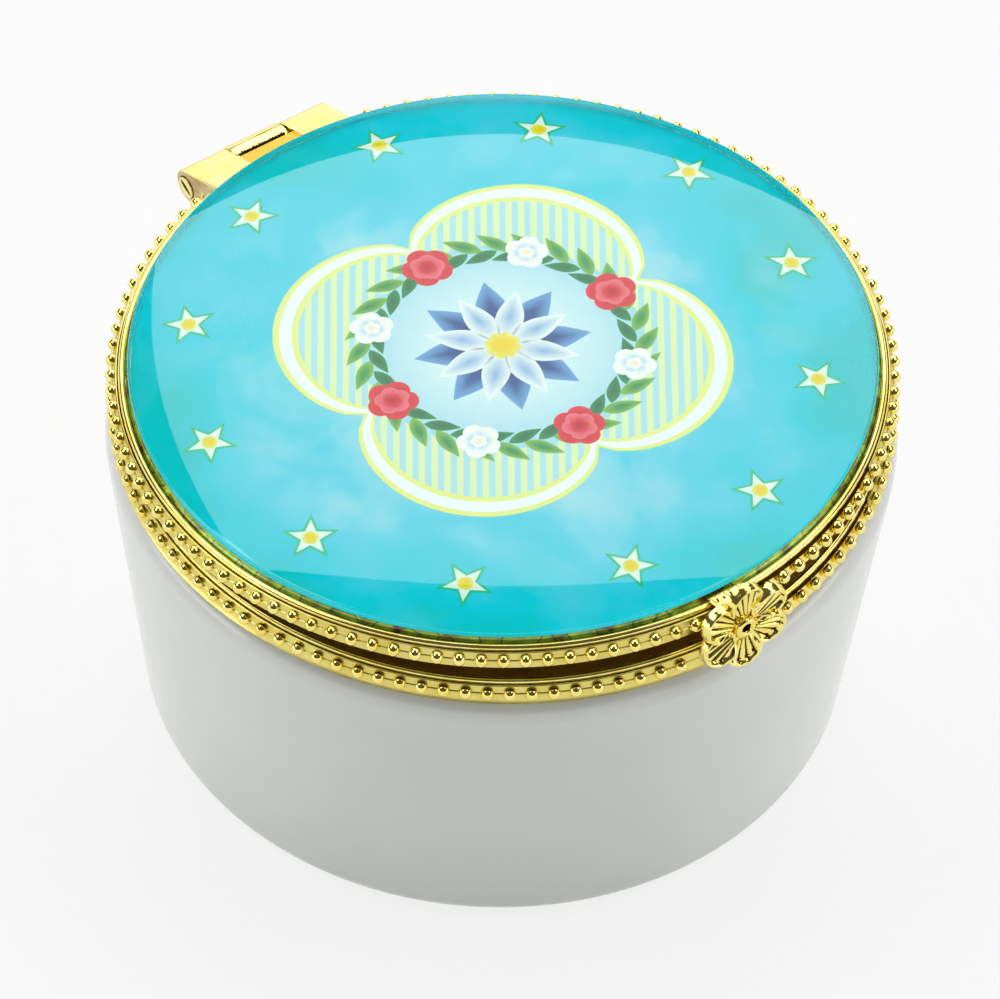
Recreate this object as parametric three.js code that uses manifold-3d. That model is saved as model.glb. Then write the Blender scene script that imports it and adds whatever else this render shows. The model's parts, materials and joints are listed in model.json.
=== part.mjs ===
import * as THREE from 'three';
import { mergeVertices } from 'three/addons/utils/BufferGeometryUtils.js';
import Module from 'manifold-3d';

// A round rosary box: a white porcelain bowl and a gilt metal lid with a picture under a glass
// dome, hinged at the back and held at the front by a tongue with a flower on it.
// Millimetres, +Z up, foot on z = 0, hinge at +Y, clasp at -Y.

const wasm = await Module();
wasm.setup();

// Driving dimensions

const ringSteps = 60; // steps round every turned piece
const bond = 0.08; // line of glue or solder between two seated pieces
const running = 0.1; // clearance beside pieces that move past each other
const closedGap = 0.15; // between the two rims with the lid shut
const ajarDegrees = 2.1; // the lid rests on its catch, not snapped shut
const overrun = 3; // how far every cutter runs past what it cuts

const bowl = {
  shoulderRadius: 31.85,
  shoulderHeight: 29.4,
  shoulderRound: 1.3,
  footInset: 4.95, // outer edge of the flat foot ring, inwards of the shoulder
  footWidth: 4.3,
  footBevel: 0.6,
  footRecess: 0.8,
  footRound: 1.95, // corner between foot and wall
  wall: 3.1,
  floor: 2.4,
  insideRound: 3,
  neckWall: 2.7,
  neckDepth: 1.6,
};

// The section that both rims are rolled from: a round bead along the top, then a sloping face
// that carries a strip of small beads.
const rim = {
  faceInset: 0.65, // beads' middle, inwards of the bowl's shoulder
  slopeDegrees: 18, // the face leans in at the top
  wall: 0.42, // measured across the axis
  rollRadius: 0.3,
  rollInset: 0.73, // roll's centre, inwards of the beads' middle
  rollRise: 0.6, // and above it
  baseBelow: 0.95, // face below the beads' middle, along the slope
  lidBelow: 0.6,
  aboveShoulder: 0.175,
};

const strip = {
  thickness: 0.15,
  above: 0.72, // strip above the beads' middle, along the slope
};

const bead = {
  count: 113, // that would fit all round
  radius: 0.5,
  sides: 6,
  baseShift: 0.42, // first bead past the clasp's middle, counted in pitches
  lidShift: 0.12,
};

// The base rim's mirror face, turned in over the bowl's neck.
const flange = {
  thickness: 0.4,
  drop: 0.05, // its face lies this far under the roll's centre
  lipGap: 0.3, // between its lip and the neck
  lipDepth: 1.5,
};

const cement = {
  over: 0.36, // on top of the neck
  beside: 0.3,
  overlap: 0.4, // down the neck's side
};

const ledge = {
  thickness: 0.35,
  width: 3.7,
  aboveSkirt: 0.1,
};

const plateThickness = 0.3;
const pictureThickness = 0.15;

const glass = {
  clear: 0.17, // to the roll of the lid's rim
  taper: 0.45, // the edge draws in towards its seat
  edgeHeight: 1.15,
  edgeRound: 0.2,
  rise: 2.6,
  roundness: 3.2, // power of the dome's curve: 2 is a plain dish, more is flatter
  domeShares: [1, 0.94, 0.86, 0.74, 0.58, 0.36],
};

const glueRise = 0.25; // how far the glue stands up round the glass

const hinge = {
  axisOut: 2.05, // outwards of the beads' middle
  axisDrop: 0.05, // under the base's beads
  aside: 1.3, // soldered on this far left of the middle
  length: 14,
  middleLength: 5.2,
  barrelRadius: 1.5,
  middleRadius: 1.6,
  leafSlopeDegrees: 22,
  webStart: 0.8, // web between the outer knuckles, inwards of the axis
  webDrop: 0.25,
  plateDepth: 0.9, // the base's plate, below the axis
  pinRadius: 0.95,
  pinProud: 0.15,
  slotLength: 1.6,
  slotWidth: 0.3,
  slotMouth: 0.12,
  slotDegrees: 154,
  steps: 20,
};

const tongue = {
  width: 3.6,
  thickness: 0.45,
  out: 0.85, // its inner face, outwards of the beads' middle
  rootHeight: 1.55, // below the roll's top
  hookReach: 0.25, // inwards of the roll's centre
  belowBeads: 1.45,
  dimpleRadius: 1.1,
  dimpleDepth: 0.2,
};

const ballCatch = {
  radius: 0.95,
  thickness: 0.3,
  sink: 0.15,
  ballRadius: 0.7,
  ballRise: 0.55,
  steps: 16,
};

const flower = {
  petals: 6,
  radius: 4.3,
  petalRadius: 1.7,
  belowBeads: 0.35, // its middle, below the lid's beads
  plate: 0.55,
  rimRise: 0.95,
  edgeRound: 0.35,
  bossRadius: 0.95,
  bossRise: 0.85,
  dimpleDepth: 0.55,
  ribs: 4, // in each petal
  ribHeight: 0.16,
  stepsPerPetal: 12,
  ringShares: [0.1, 0.21, 0.36, 0.54, 0.72, 0.9],
  cupShares: [0.5, 0.85], // of a petal's radius, where its floor starts to rise and its rim tops out
  middleShares: [0.25, 0.6], // of the flower's radius, where the petals' rims fade in
};

// Places worked out from them

const slope = THREE.MathUtils.degToRad(rim.slopeDegrees);
const footRadius = bowl.shoulderRadius - bowl.footInset;
const faceRadius = bowl.shoulderRadius - rim.faceInset;
const stripSeat = strip.thickness + bond;
const skirtDrop = rim.baseBelow * Math.cos(slope) + stripSeat * Math.sin(slope);

const baseBeads = bowl.shoulderHeight + rim.aboveShoulder + skirtDrop;
const baseRollTop = baseBeads + rim.rollRise + rim.rollRadius;
const lidSkirtBottom = baseRollTop + closedGap;
const lidBeads = lidSkirtBottom + rim.lidBelow * Math.cos(slope) + stripSeat * Math.sin(slope);
const lidRollTop = lidBeads + rim.rollRise + rim.rollRadius;
const rollCentreRadius = faceRadius - rim.rollInset;
const rollInnerRadius = rollCentreRadius - rim.rollRadius;

const flangeTop = baseBeads + rim.rollRise - flange.drop;
const flangeUnderside = flangeTop - flange.thickness;
const cementRadius = insideOfSkirt(baseBeads, flangeUnderside) - bond;
const neckTop = flangeUnderside - cement.over;
const neckRadius = cementRadius - cement.beside;
const neckInnerRadius = neckRadius - bowl.neckWall;

const ledgeUnderside = lidSkirtBottom + ledge.aboveSkirt;
const ledgeTop = ledgeUnderside + ledge.thickness;
const plateBottom = ledgeTop + bond;
const plateTop = plateBottom + plateThickness;
const pictureBottom = plateTop + bond;
const pictureTop = pictureBottom + pictureThickness;
const glassBottom = pictureTop + bond;
const glassRadius = rollInnerRadius - glass.clear;
const glassFootRadius = glassRadius - glass.taper;

const hingeY = faceRadius + hinge.axisOut;
const hingeZ = baseBeads - hinge.axisDrop;
const tongueInside = faceRadius + tongue.out;
const tongueOutside = tongueInside + tongue.thickness;

// A rim's sloping face, moved `out` at right angles from the front of its strip.
function onFace(beadsHeight, along, out) {
  return new THREE.Vector2(
    faceRadius - along * Math.sin(slope) + out * Math.cos(slope),
    beadsHeight + along * Math.cos(slope) + out * Math.sin(slope),
  );
}

function faceRadiusAt(beadsHeight, z, out) {
  return faceRadius - (z - beadsHeight) * Math.tan(slope) + out / Math.cos(slope);
}

function insideOfSkirt(beadsHeight, z) {
  return faceRadiusAt(beadsHeight, z, -stripSeat) - rim.wall;
}

// Materials

const gilt = { color: 0xd9b548, roughness: 0.18, metalness: 1 };

const finishes = {
  porcelain: { color: 0xe9ebea, roughness: 0.12, metalness: 0 },
  gilt,
  giltCast: { ...gilt, roughness: 0.3 },
  giltSheet: { ...gilt, roughness: 0.24 },
  cement: { color: 0xcfc6ae, roughness: 0.8, metalness: 0 },
  glue: { color: 0x7f9a2c, roughness: 0.3, metalness: 0 },
  print: { color: 0x2cc3d6, roughness: 0.5, metalness: 0 },
  glass: { color: 0xd7f4f6, roughness: 0.03, metalness: 0 },
};

function meshOf(name, geometry, finish) {
  const made = new THREE.Mesh(geometry, new THREE.MeshStandardMaterial(finishes[finish]));
  made.name = name;
  return made;
}

// Solids from sections, and cuts between solids

function toManifold(geometry) {
  const bare = geometry.index ? geometry.toNonIndexed() : geometry.clone();
  bare.deleteAttribute('normal');
  bare.deleteAttribute('uv');
  const merged = mergeVertices(bare);
  return new wasm.Manifold(new wasm.Mesh({
    numProp: 3,
    vertProperties: new Float32Array(merged.attributes.position.array),
    triVerts: new Uint32Array(merged.index.array),
  }));
}

function toGeometry(solid) {
  const { vertProperties, triVerts } = solid.getMesh();
  const geometry = new THREE.BufferGeometry();
  geometry.setAttribute('position', new THREE.BufferAttribute(vertProperties, 3));
  geometry.setIndex(new THREE.BufferAttribute(triVerts, 1));
  return geometry.toNonIndexed();
}

function cutFrom(geometry, cutters) {
  return toGeometry(cutters.reduce((left, cutter) => left.subtract(toManifold(cutter)), toManifold(geometry)));
}

function fromTriangles(positions) {
  const geometry = new THREE.BufferGeometry();
  geometry.setAttribute('position', new THREE.Float32BufferAttribute(positions, 3));
  return geometry;
}

function point(radius, z) {
  return new THREE.Vector2(radius, z);
}

// A section of (radius, height) points, anticlockwise, turned round the z axis.
function turned(points, steps = ringSteps) {
  return new THREE.LatheGeometry(points, steps).rotateX(Math.PI / 2);
}

function turnedRing(points) {
  return turned([...points, points[0]]);
}

function turnedDisc(radius, bottom, top) {
  return turned([point(0, bottom), point(radius, bottom), point(radius, top), point(0, top)]);
}

function arc(centreRadius, centreZ, radius, fromDegrees, toDegrees, steps) {
  return Array.from({ length: steps + 1 }, (_, i) => {
    const angle = THREE.MathUtils.degToRad(THREE.MathUtils.lerp(fromDegrees, toDegrees, i / steps));
    return point(centreRadius + radius * Math.cos(angle), centreZ + radius * Math.sin(angle));
  });
}

// A shape drawn in (distance, height) and pushed along X, with its distance laid towards -Y.
function pushedAlongX(shape, length) {
  const geometry = new THREE.ExtrudeGeometry(shape, {
    depth: length,
    bevelEnabled: false,
    curveSegments: hinge.steps,
  });
  const towardsFront = new THREE.Matrix4().makeBasis(
    new THREE.Vector3(0, -1, 0),
    new THREE.Vector3(0, 0, 1),
    new THREE.Vector3(-1, 0, 0),
  );
  return geometry.applyMatrix4(towardsFront).translate(length / 2, 0, 0);
}

// The bowl

function makeBowl() {
  const { shoulderRadius, shoulderHeight, shoulderRound, footRound, insideRound } = bowl;
  const lean = (shoulderRadius - footRadius - footRound) / (shoulderHeight - shoulderRound - footRound);
  const insideAt = (z) => footRadius + footRound + lean * (z - footRound) - bowl.wall;
  const footInner = footRadius - bowl.footWidth;
  const floorTop = bowl.footRecess + bowl.floor;
  const cornerZ = floorTop + insideRound;
  const neckBottom = neckTop - bowl.neckDepth;
  const wallTop = neckBottom - (insideAt(neckBottom) - neckInnerRadius);
  const section = [
    point(0, bowl.footRecess),
    point(footInner - bowl.footBevel, bowl.footRecess),
    point(footInner, 0),
    ...arc(footRadius, footRound, footRound, -90, 0, 4),
    ...arc(shoulderRadius - shoulderRound, shoulderHeight - shoulderRound, shoulderRound, 0, 90, 3),
    point(neckRadius, shoulderHeight),
    point(neckRadius, neckTop),
    point(neckInnerRadius, neckTop),
    point(neckInnerRadius, neckBottom),
    point(insideAt(wallTop), wallTop),
    ...arc(insideAt(cornerZ) - insideRound, cornerZ, insideRound, 0, -90, 2),
    point(0, floorTop),
  ];
  return meshOf('bowl', turned(section), 'porcelain');
}

// Rims

// The outside of a rim's section, from the skirt's bottom edge up and over the roll.
function rimOutside(beadsHeight, below) {
  return [
    onFace(beadsHeight, -below, -stripSeat),
    onFace(beadsHeight, rim.rollRise - rim.rollRadius, -stripSeat),
    ...arc(rollCentreRadius, beadsHeight + rim.rollRise, rim.rollRadius, 0, 180, 4),
  ];
}

function makeBaseRim() {
  const outside = rimOutside(baseBeads, rim.baseBelow);
  const skirtBottom = outside[0].y;
  const lipOutside = neckInnerRadius - flange.lipGap;
  const lipInside = lipOutside - flange.thickness;
  const section = [
    point(insideOfSkirt(baseBeads, skirtBottom), skirtBottom),
    ...outside,
    point(rollInnerRadius, flangeTop),
    point(lipOutside, flangeTop),
    point(lipInside, flangeUnderside),
    point(lipInside, flangeTop - flange.lipDepth),
    point(lipOutside, flangeTop - flange.lipDepth),
    point(lipOutside, flangeUnderside),
    point(insideOfSkirt(baseBeads, flangeUnderside), flangeUnderside),
  ];
  return meshOf('base_rim', turnedRing(section), 'gilt');
}

function makeCement() {
  const section = [
    point(neckRadius + bond, neckTop - cement.overlap),
    point(cementRadius, neckTop - cement.overlap),
    point(cementRadius, flangeUnderside - bond),
    point(neckInnerRadius + bond, flangeUnderside - bond),
    point(neckInnerRadius + bond, neckTop + bond),
    point(neckRadius + bond, neckTop + bond),
  ];
  return meshOf('rim_cement', turnedRing(section), 'cement');
}

function makeLidRim() {
  const section = [
    point(insideOfSkirt(lidBeads, lidSkirtBottom), lidSkirtBottom),
    ...rimOutside(lidBeads, rim.lidBelow),
    point(rollInnerRadius, ledgeTop),
    point(rollInnerRadius - ledge.width, ledgeTop),
    point(rollInnerRadius - ledge.width, ledgeUnderside),
    point(insideOfSkirt(lidBeads, ledgeUnderside), ledgeUnderside),
  ];
  return meshOf('lid_rim', turnedRing(section), 'gilt');
}

// What a rim's face fills, grown by the solder line, to cut whatever is soldered on to it.
function rimCutter(beadsHeight, below) {
  const bottom = onFace(beadsHeight, -below, 0).y - overrun;
  const top = beadsHeight + rim.rollRise + overrun;
  return turned([
    point(0, bottom),
    point(faceRadiusAt(beadsHeight, bottom, bond - stripSeat), bottom),
    point(faceRadiusAt(beadsHeight, top, bond - stripSeat), top),
    point(0, top),
  ]);
}

// Beaded strips

function beadAngle(index) {
  return -Math.PI / 2 + (index * 2 * Math.PI) / bead.count;
}

// A strip bent round a rim, its ends counted in pitches past the clasp's middle. One cell to a
// bead: the cell's face joins six points at the bead's foot to its own four corners.
function makeBeadStrip(name, beadsHeight, below, shift, from, to) {
  const first = Math.ceil(from + 1 / 2 - shift);
  const last = Math.floor(to - 1 / 2 - shift);
  const positions = [];
  const face = (...corners) => {
    for (let i = 2; i < corners.length; i++) {
      [corners[0], corners[i - 1], corners[i]].forEach((p) => positions.push(p.x, p.y, p.z));
    }
  };
  const at = (angle, along, out) => {
    const place = onFace(beadsHeight, along, out);
    return new THREE.Vector3(place.x * Math.cos(angle), place.x * Math.sin(angle), place.y);
  };
  const corners = (angle) => ({
    top: at(angle, strip.above, 0),
    low: at(angle, -below, 0),
    backTop: at(angle, strip.above, -strip.thickness),
    backLow: at(angle, -below, -strip.thickness),
  });
  for (let index = first; index <= last; index++) {
    const middle = beadAngle(index + shift);
    const left = corners(beadAngle(index === first ? from : index + shift - 1 / 2));
    const right = corners(beadAngle(index === last ? to : index + shift + 1 / 2));
    const foot = Array.from({ length: bead.sides }, (_, k) => {
      const turn = (k * 2 * Math.PI) / bead.sides;
      return at(middle + (bead.radius * Math.cos(turn)) / faceRadius, bead.radius * Math.sin(turn), 0);
    });
    const crown = at(middle, 0, bead.radius);
    foot.forEach((_, k) => face(foot[k], foot[(k + 1) % bead.sides], crown));
    face(right.top, left.top, foot[2], foot[1], foot[0]);
    face(right.low, right.top, foot[0], foot[5], foot[4]);
    face(left.low, right.low, foot[4]);
    face(left.top, left.low, foot[4], foot[3], foot[2]);
    face(right.backLow, left.backLow, left.backTop, right.backTop);
    face(left.top, right.top, right.backTop, left.backTop);
    face(right.low, left.low, left.backLow, right.backLow);
    if (index === first) face(left.low, left.top, left.backTop, left.backLow);
    if (index === last) face(right.top, right.low, right.backLow, right.backTop);
  }
  return meshOf(name, fromTriangles(positions), 'gilt');
}

// Two strips to a rim, one on either side, from the tongue round to the hinge.
function makeBeadStrips(prefix, beadsHeight, below, shift) {
  const pitches = (length) => (Math.asin(length / faceRadius) * bead.count) / (2 * Math.PI);
  const fromTongue = pitches(tongue.width / 2 + running);
  const toHinge = (side) => bead.count / 2 - pitches(hinge.length / 2 + running + side * hinge.aside);
  return [
    makeBeadStrip(`${prefix}_bead_strip_right`, beadsHeight, below, shift, fromTongue, toHinge(-1)),
    makeBeadStrip(`${prefix}_bead_strip_left`, beadsHeight, below, shift, -toHinge(1), -fromTongue),
  ];
}

// The lid's filling

function makeLidPlate() {
  return meshOf('lid_plate', turnedDisc(glassFootRadius, plateBottom, plateTop), 'giltSheet');
}

function makePicture() {
  return meshOf('picture_disc', turnedDisc(glassFootRadius, pictureBottom, pictureTop), 'print');
}

function makeGlass() {
  const edgeTop = glassBottom + glass.edgeHeight;
  const domeRadius = glassRadius - glass.edgeRound;
  const domeFoot = edgeTop + glass.edgeRound;
  const section = [
    point(0, glassBottom),
    point(glassFootRadius, glassBottom),
    point(glassRadius, edgeTop),
    ...glass.domeShares.map((share) => point(
      domeRadius * share,
      domeFoot + glass.rise * (1 - share ** glass.roundness),
    )),
    point(0, domeFoot + glass.rise),
  ];
  return meshOf('lid_glass', turned(section), 'glass');
}

function makeGlue() {
  const top = glassBottom + glueRise;
  const inner = glassFootRadius + bond;
  const outer = rollInnerRadius - bond;
  const section = [
    point(inner, plateBottom),
    point(outer, plateBottom),
    point(outer, top),
    point(inner + (glass.taper * glueRise) / glass.edgeHeight, top),
    point(inner, glassBottom),
  ];
  return meshOf('glass_glue', turnedRing(section), 'glue');
}

// The hinge, its sections drawn in (inwards of the pin, above the pin)

function alongHinge(shape, length) {
  return pushedAlongX(shape, length).translate(-hinge.aside, hingeY, hingeZ);
}

function barrel(radius, length) {
  return alongHinge(new THREE.Shape().absarc(0, 0, radius, 0, 2 * Math.PI), length);
}

// Two cast knuckles and the flat leaf that joins them to the lid's rim.
function makeLidLeaf() {
  const lean = THREE.MathUtils.degToRad(hinge.leafSlopeDegrees);
  const topAt = (inwards) => hinge.barrelRadius / Math.cos(lean) + inwards * Math.tan(lean);
  const reach = hingeY - rollCentreRadius;
  const underside = lidSkirtBottom - hingeZ;
  const undersideAngle = Math.asin(underside / hinge.barrelRadius);
  const section = new THREE.Shape();
  section.moveTo(reach, underside);
  section.lineTo(reach, topAt(reach));
  section.absarc(0, 0, hinge.barrelRadius, Math.PI / 2 + lean, 2 * Math.PI + undersideAngle);
  section.closePath();

  const notchLength = hinge.middleLength + 2 * running;
  const notch = new THREE.Shape();
  notch.moveTo(-overrun, -overrun);
  notch.lineTo(hinge.webStart, -overrun);
  notch.lineTo(hinge.webStart, topAt(hinge.webStart) - hinge.webDrop);
  notch.lineTo(reach + overrun, topAt(reach + overrun) - hinge.webDrop);
  notch.lineTo(reach + overrun, topAt(reach + overrun));
  notch.lineTo(-overrun, overrun);

  const geometry = cutFrom(alongHinge(section, hinge.length), [
    alongHinge(notch, notchLength),
    barrel(hinge.middleRadius + running, notchLength),
    barrel(hinge.pinRadius + bond, hinge.length + overrun),
    rimCutter(lidBeads, rim.lidBelow),
  ]);
  return meshOf('hinge_lid_leaf', geometry, 'giltCast');
}

// A middle knuckle curled from sheet, with the plate that joins it to the base's rim.
function makeBaseLeaf() {
  const plateFront = hinge.axisOut + overrun;
  const section = new THREE.Shape();
  section.moveTo(plateFront, 0);
  section.absarc(0, 0, hinge.middleRadius, 0, 2 * Math.PI - Math.asin(hinge.plateDepth / hinge.middleRadius));
  section.lineTo(plateFront, -hinge.plateDepth);
  const geometry = cutFrom(alongHinge(section, hinge.middleLength), [
    barrel(hinge.pinRadius + bond, hinge.middleLength + overrun),
    rimCutter(baseBeads, rim.baseBelow),
  ]);
  return meshOf('hinge_base_leaf', geometry, 'giltSheet');
}

// A pin rolled from sheet, flattened so that its bore is a narrow slot open along one side.
function makePin() {
  const slotTurn = THREE.MathUtils.degToRad(hinge.slotDegrees);
  const halfMouth = Math.asin(hinge.slotMouth / 2 / hinge.pinRadius);
  const mouthInSlot = Math.asin(hinge.slotMouth / hinge.slotWidth);
  const section = new THREE.Shape();
  section.absarc(0, 0, hinge.pinRadius, slotTurn + halfMouth, slotTurn + 2 * Math.PI - halfMouth);
  section.absellipse(
    0, 0, hinge.slotLength / 2, hinge.slotWidth / 2,
    -mouthInSlot, mouthInSlot - 2 * Math.PI, true, slotTurn,
  );
  section.closePath();
  return meshOf('hinge_pin', alongHinge(section, hinge.length + 2 * hinge.pinProud), 'giltSheet');
}

// The clasp

// A strap hooked over the lid's roll and hanging down past the base's beads.
function makeTongue() {
  const hookBottom = lidRollTop + bond;
  const rootBottom = lidRollTop - tongue.rootHeight;
  const bottom = baseBeads - tongue.belowBeads;
  const hookRadius = rollCentreRadius - tongue.hookReach;
  const seat = bond - stripSeat;
  const section = new THREE.Shape([
    point(hookRadius, hookBottom),
    point(faceRadiusAt(lidBeads, hookBottom, bond), hookBottom),
    point(faceRadiusAt(lidBeads, lidBeads, seat + bond), lidBeads),
    point(faceRadiusAt(lidBeads, rootBottom, seat + bond), rootBottom),
    point(tongueInside, rootBottom),
    point(tongueInside, bottom),
    point(tongueOutside, bottom),
    point(tongueOutside, hookBottom + tongue.thickness),
    point(hookRadius, hookBottom + tongue.thickness),
  ]);
  const dimple = new THREE.SphereGeometry(tongue.dimpleRadius, ballCatch.steps, ballCatch.steps / 2)
    .translate(0, tongue.dimpleRadius - tongue.dimpleDepth - tongueInside, baseBeads);
  const geometry = cutFrom(pushedAlongX(section, tongue.width), [dimple]);
  return meshOf('clasp_tongue', geometry, 'giltCast');
}

// A disc soldered on the base's rim, with a ball raised on it for the tongue to snap over.
function makeCatch() {
  const crown = ballCatch.thickness + ballCatch.ballRise;
  const ballCentre = crown - ballCatch.ballRadius;
  const footAngle = Math.asin((ballCatch.thickness - ballCentre) / ballCatch.ballRadius);
  const section = [
    point(0, -ballCatch.sink),
    point(ballCatch.radius, -ballCatch.sink),
    point(ballCatch.radius, ballCatch.thickness),
    ...arc(0, ballCentre, ballCatch.ballRadius, THREE.MathUtils.radToDeg(footAngle), 90, 3).slice(0, -1),
    point(0, crown),
  ];
  const seat = onFace(baseBeads, 0, bond - stripSeat);
  const geometry = turned(section, ballCatch.steps)
    .rotateX(Math.PI / 2 - slope)
    .translate(0, -seat.x, seat.y);
  return meshOf('clasp_catch', cutFrom(geometry, [rimCutter(baseBeads, rim.baseBelow)]), 'giltCast');
}

const petalTurn = (2 * Math.PI) / flower.petals;
const petalCentre = flower.radius - flower.petalRadius;

function angleFromPetal(angle) {
  return THREE.MathUtils.euclideanModulo(angle + petalTurn / 2, petalTurn) - petalTurn / 2;
}

// The flower's outline: round petals set in a ring.
function flowerEdge(angle) {
  const aside = petalCentre * Math.sin(angleFromPetal(angle));
  return petalCentre * Math.cos(angleFromPetal(angle)) + Math.sqrt(flower.petalRadius ** 2 - aside ** 2);
}

// The flower's face: a dimpled boss, and petals cupped up to their rims and ribbed inside.
function flowerFace(angle, radius) {
  if (radius < flower.bossRadius) {
    const ring = Math.sin((radius / flower.bossRadius) * (Math.PI / 2));
    return flower.plate + flower.bossRise - flower.dimpleDepth * (1 - ring);
  }
  const turn = angleFromPetal(angle);
  const fromPetal = Math.hypot(radius * Math.cos(turn) - petalCentre, radius * Math.sin(turn));
  const cup = THREE.MathUtils.smoothstep(fromPetal / flower.petalRadius, ...flower.cupShares);
  const away = THREE.MathUtils.smoothstep(radius / flower.radius, ...flower.middleShares);
  const rib = Math.max(0, Math.cos(turn * flower.petals * flower.ribs));
  return flower.plate + flower.rimRise * cup * away + flower.ribHeight * rib * (1 - cup);
}

function makeFlower() {
  const steps = flower.petals * flower.stepsPerPetal;
  const angles = Array.from({ length: steps }, (_, i) => (i * 2 * Math.PI) / steps);
  const onBack = (angle, radius, height) => new THREE.Vector3(
    radius * Math.sin(angle), radius * Math.cos(angle), height,
  );
  const edge = (inset, height) => angles.map((angle) => onBack(angle, flowerEdge(angle) - inset, height));
  const ring = (share) => angles.map((angle) => {
    const radius = flowerEdge(angle) * share;
    return onBack(angle, radius, flowerFace(angle, radius));
  });
  const crest = flower.plate + flower.rimRise;
  const rings = [
    ...flower.ringShares.map(ring),
    edge(0, crest - flower.edgeRound),
    edge(0, flower.edgeRound),
    edge(flower.edgeRound, 0),
  ];
  const positions = [];
  const face = (...corners) => corners.forEach((p) => positions.push(p.x, p.y, p.z));
  const middle = new THREE.Vector3(0, 0, flower.plate + flower.bossRise - flower.dimpleDepth);
  const back = new THREE.Vector3();
  angles.forEach((_, i) => {
    const next = (i + 1) % steps;
    face(middle, rings[0][next], rings[0][i]);
    for (let k = 1; k < rings.length; k++) {
      face(rings[k - 1][i], rings[k - 1][next], rings[k][next]);
      face(rings[k - 1][i], rings[k][next], rings[k][i]);
    }
    face(back, rings.at(-1)[i], rings.at(-1)[next]);
  });
  const geometry = fromTriangles(positions)
    .rotateX(Math.PI / 2)
    .translate(0, -tongueOutside - bond, lidBeads - flower.belowBeads);
  return meshOf('clasp_flower', geometry, 'giltCast');
}

// Assembly

function makeBase() {
  return new THREE.Group().add(
    makeBowl(),
    makeCement(),
    makeBaseRim(),
    ...makeBeadStrips('base', baseBeads, rim.baseBelow, bead.baseShift),
    makeBaseLeaf(),
    makeCatch(),
  );
}

// The lid is drawn shut, then turned about the hinge pin to rest ajar.
function makeLid() {
  const shut = new THREE.Group().add(
    makeLidRim(),
    ...makeBeadStrips('lid', lidBeads, rim.lidBelow, bead.lidShift),
    makeLidPlate(),
    makePicture(),
    makeGlass(),
    makeGlue(),
    makeLidLeaf(),
    makePin(),
    makeTongue(),
    makeFlower(),
  );
  shut.position.set(0, -hingeY, -hingeZ);
  const ajar = new THREE.Group().add(shut);
  ajar.position.set(0, hingeY, hingeZ);
  ajar.rotation.x = -THREE.MathUtils.degToRad(ajarDegrees);
  return ajar;
}

const rosaryBox = new THREE.Group().add(makeBase(), makeLid());

export default rosaryBox;
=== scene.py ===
# %% [markdown]
# # A round rosary box with a picture under glass
# The real box is a white porcelain bowl, a gold-plated brass lid that swings on a small hinge, and
# a printed picture under a low glass dome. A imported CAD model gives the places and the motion.
# This lesson dresses it: each hard-edged solid gets a smooth piece on the same spot, and each
# finish is built from shader nodes.

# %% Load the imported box
import json
import math

import bpy
from mathutils import Matrix, Vector


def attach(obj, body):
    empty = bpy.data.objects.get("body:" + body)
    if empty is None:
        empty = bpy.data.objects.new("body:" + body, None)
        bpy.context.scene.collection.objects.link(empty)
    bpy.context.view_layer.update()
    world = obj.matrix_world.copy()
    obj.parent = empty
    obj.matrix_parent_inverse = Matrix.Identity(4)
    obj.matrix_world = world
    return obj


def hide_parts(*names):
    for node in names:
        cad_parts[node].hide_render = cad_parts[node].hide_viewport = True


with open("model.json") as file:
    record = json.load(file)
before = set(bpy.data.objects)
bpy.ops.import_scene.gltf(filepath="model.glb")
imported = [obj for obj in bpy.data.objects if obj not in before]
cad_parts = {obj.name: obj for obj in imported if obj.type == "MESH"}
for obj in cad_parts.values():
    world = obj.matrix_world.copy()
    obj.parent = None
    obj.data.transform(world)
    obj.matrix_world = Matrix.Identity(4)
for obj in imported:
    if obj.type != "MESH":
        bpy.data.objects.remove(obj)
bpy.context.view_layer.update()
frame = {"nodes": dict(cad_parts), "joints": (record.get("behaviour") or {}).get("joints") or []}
print("CAD nodes:", sorted(frame["nodes"]))

# %% [markdown]
# ## Sizes
# The drawing is in millimetres and Blender works in metres, so every size is written in
# millimetres and multiplied by MM where it is used. A turned piece is described by its section:
# a distance from the box's axis and a height. The lid is drawn shut, and is tipped about the
# hinge at the end, because a shut lid is round about the box's own axis.

# %% The sizes that several pieces share
MM = 0.001
WELD = 0.0005  # corners closer than this are one
LATHE_STEPS = 256
FACE_RADIUS = 31.2  # a rim's sloping face, level with the middle of its strip
SLOPE = math.radians(18)  # both rims lean in at the top
STRIP_THICKNESS = 0.15
STRIP_SEAT = 0.23  # the strip and its solder
BASE_BEADS_Z = 30.5496  # the middle of the base's strip
LID_BEADS_Z = 32.2413
BASE_SKIRT = 0.95  # how far the skirt reaches below that, along its face
LID_SKIRT = 0.6
ROLL_RADIUS = 0.3
ROLL_CENTRE = 30.47
ROLL_RISE = 0.6  # above the middle of the strip
CLEARANCE = 0.1  # between pieces that move past each other
HINGE_Y = 33.25
HINGE_Z = 30.4996
HINGE_ASIDE = -1.3  # to the left of the middle, seen from the clasp
hinge_joint = frame["joints"][0]
hinge_point = Vector(hinge_joint["pos_m"])
ajar = -math.radians(hinge_joint["range_deg"][0])
print("the lid rests", round(math.degrees(ajar), 2), "degrees open")


def on_face(beads_z, along, out):
    """A point of a rim's sloping face: along it from the beads, and out from it."""
    return (
        FACE_RADIUS - along * math.sin(SLOPE) + out * math.cos(SLOPE),
        beads_z + along * math.cos(SLOPE) + out * math.sin(SLOPE),
    )


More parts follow.
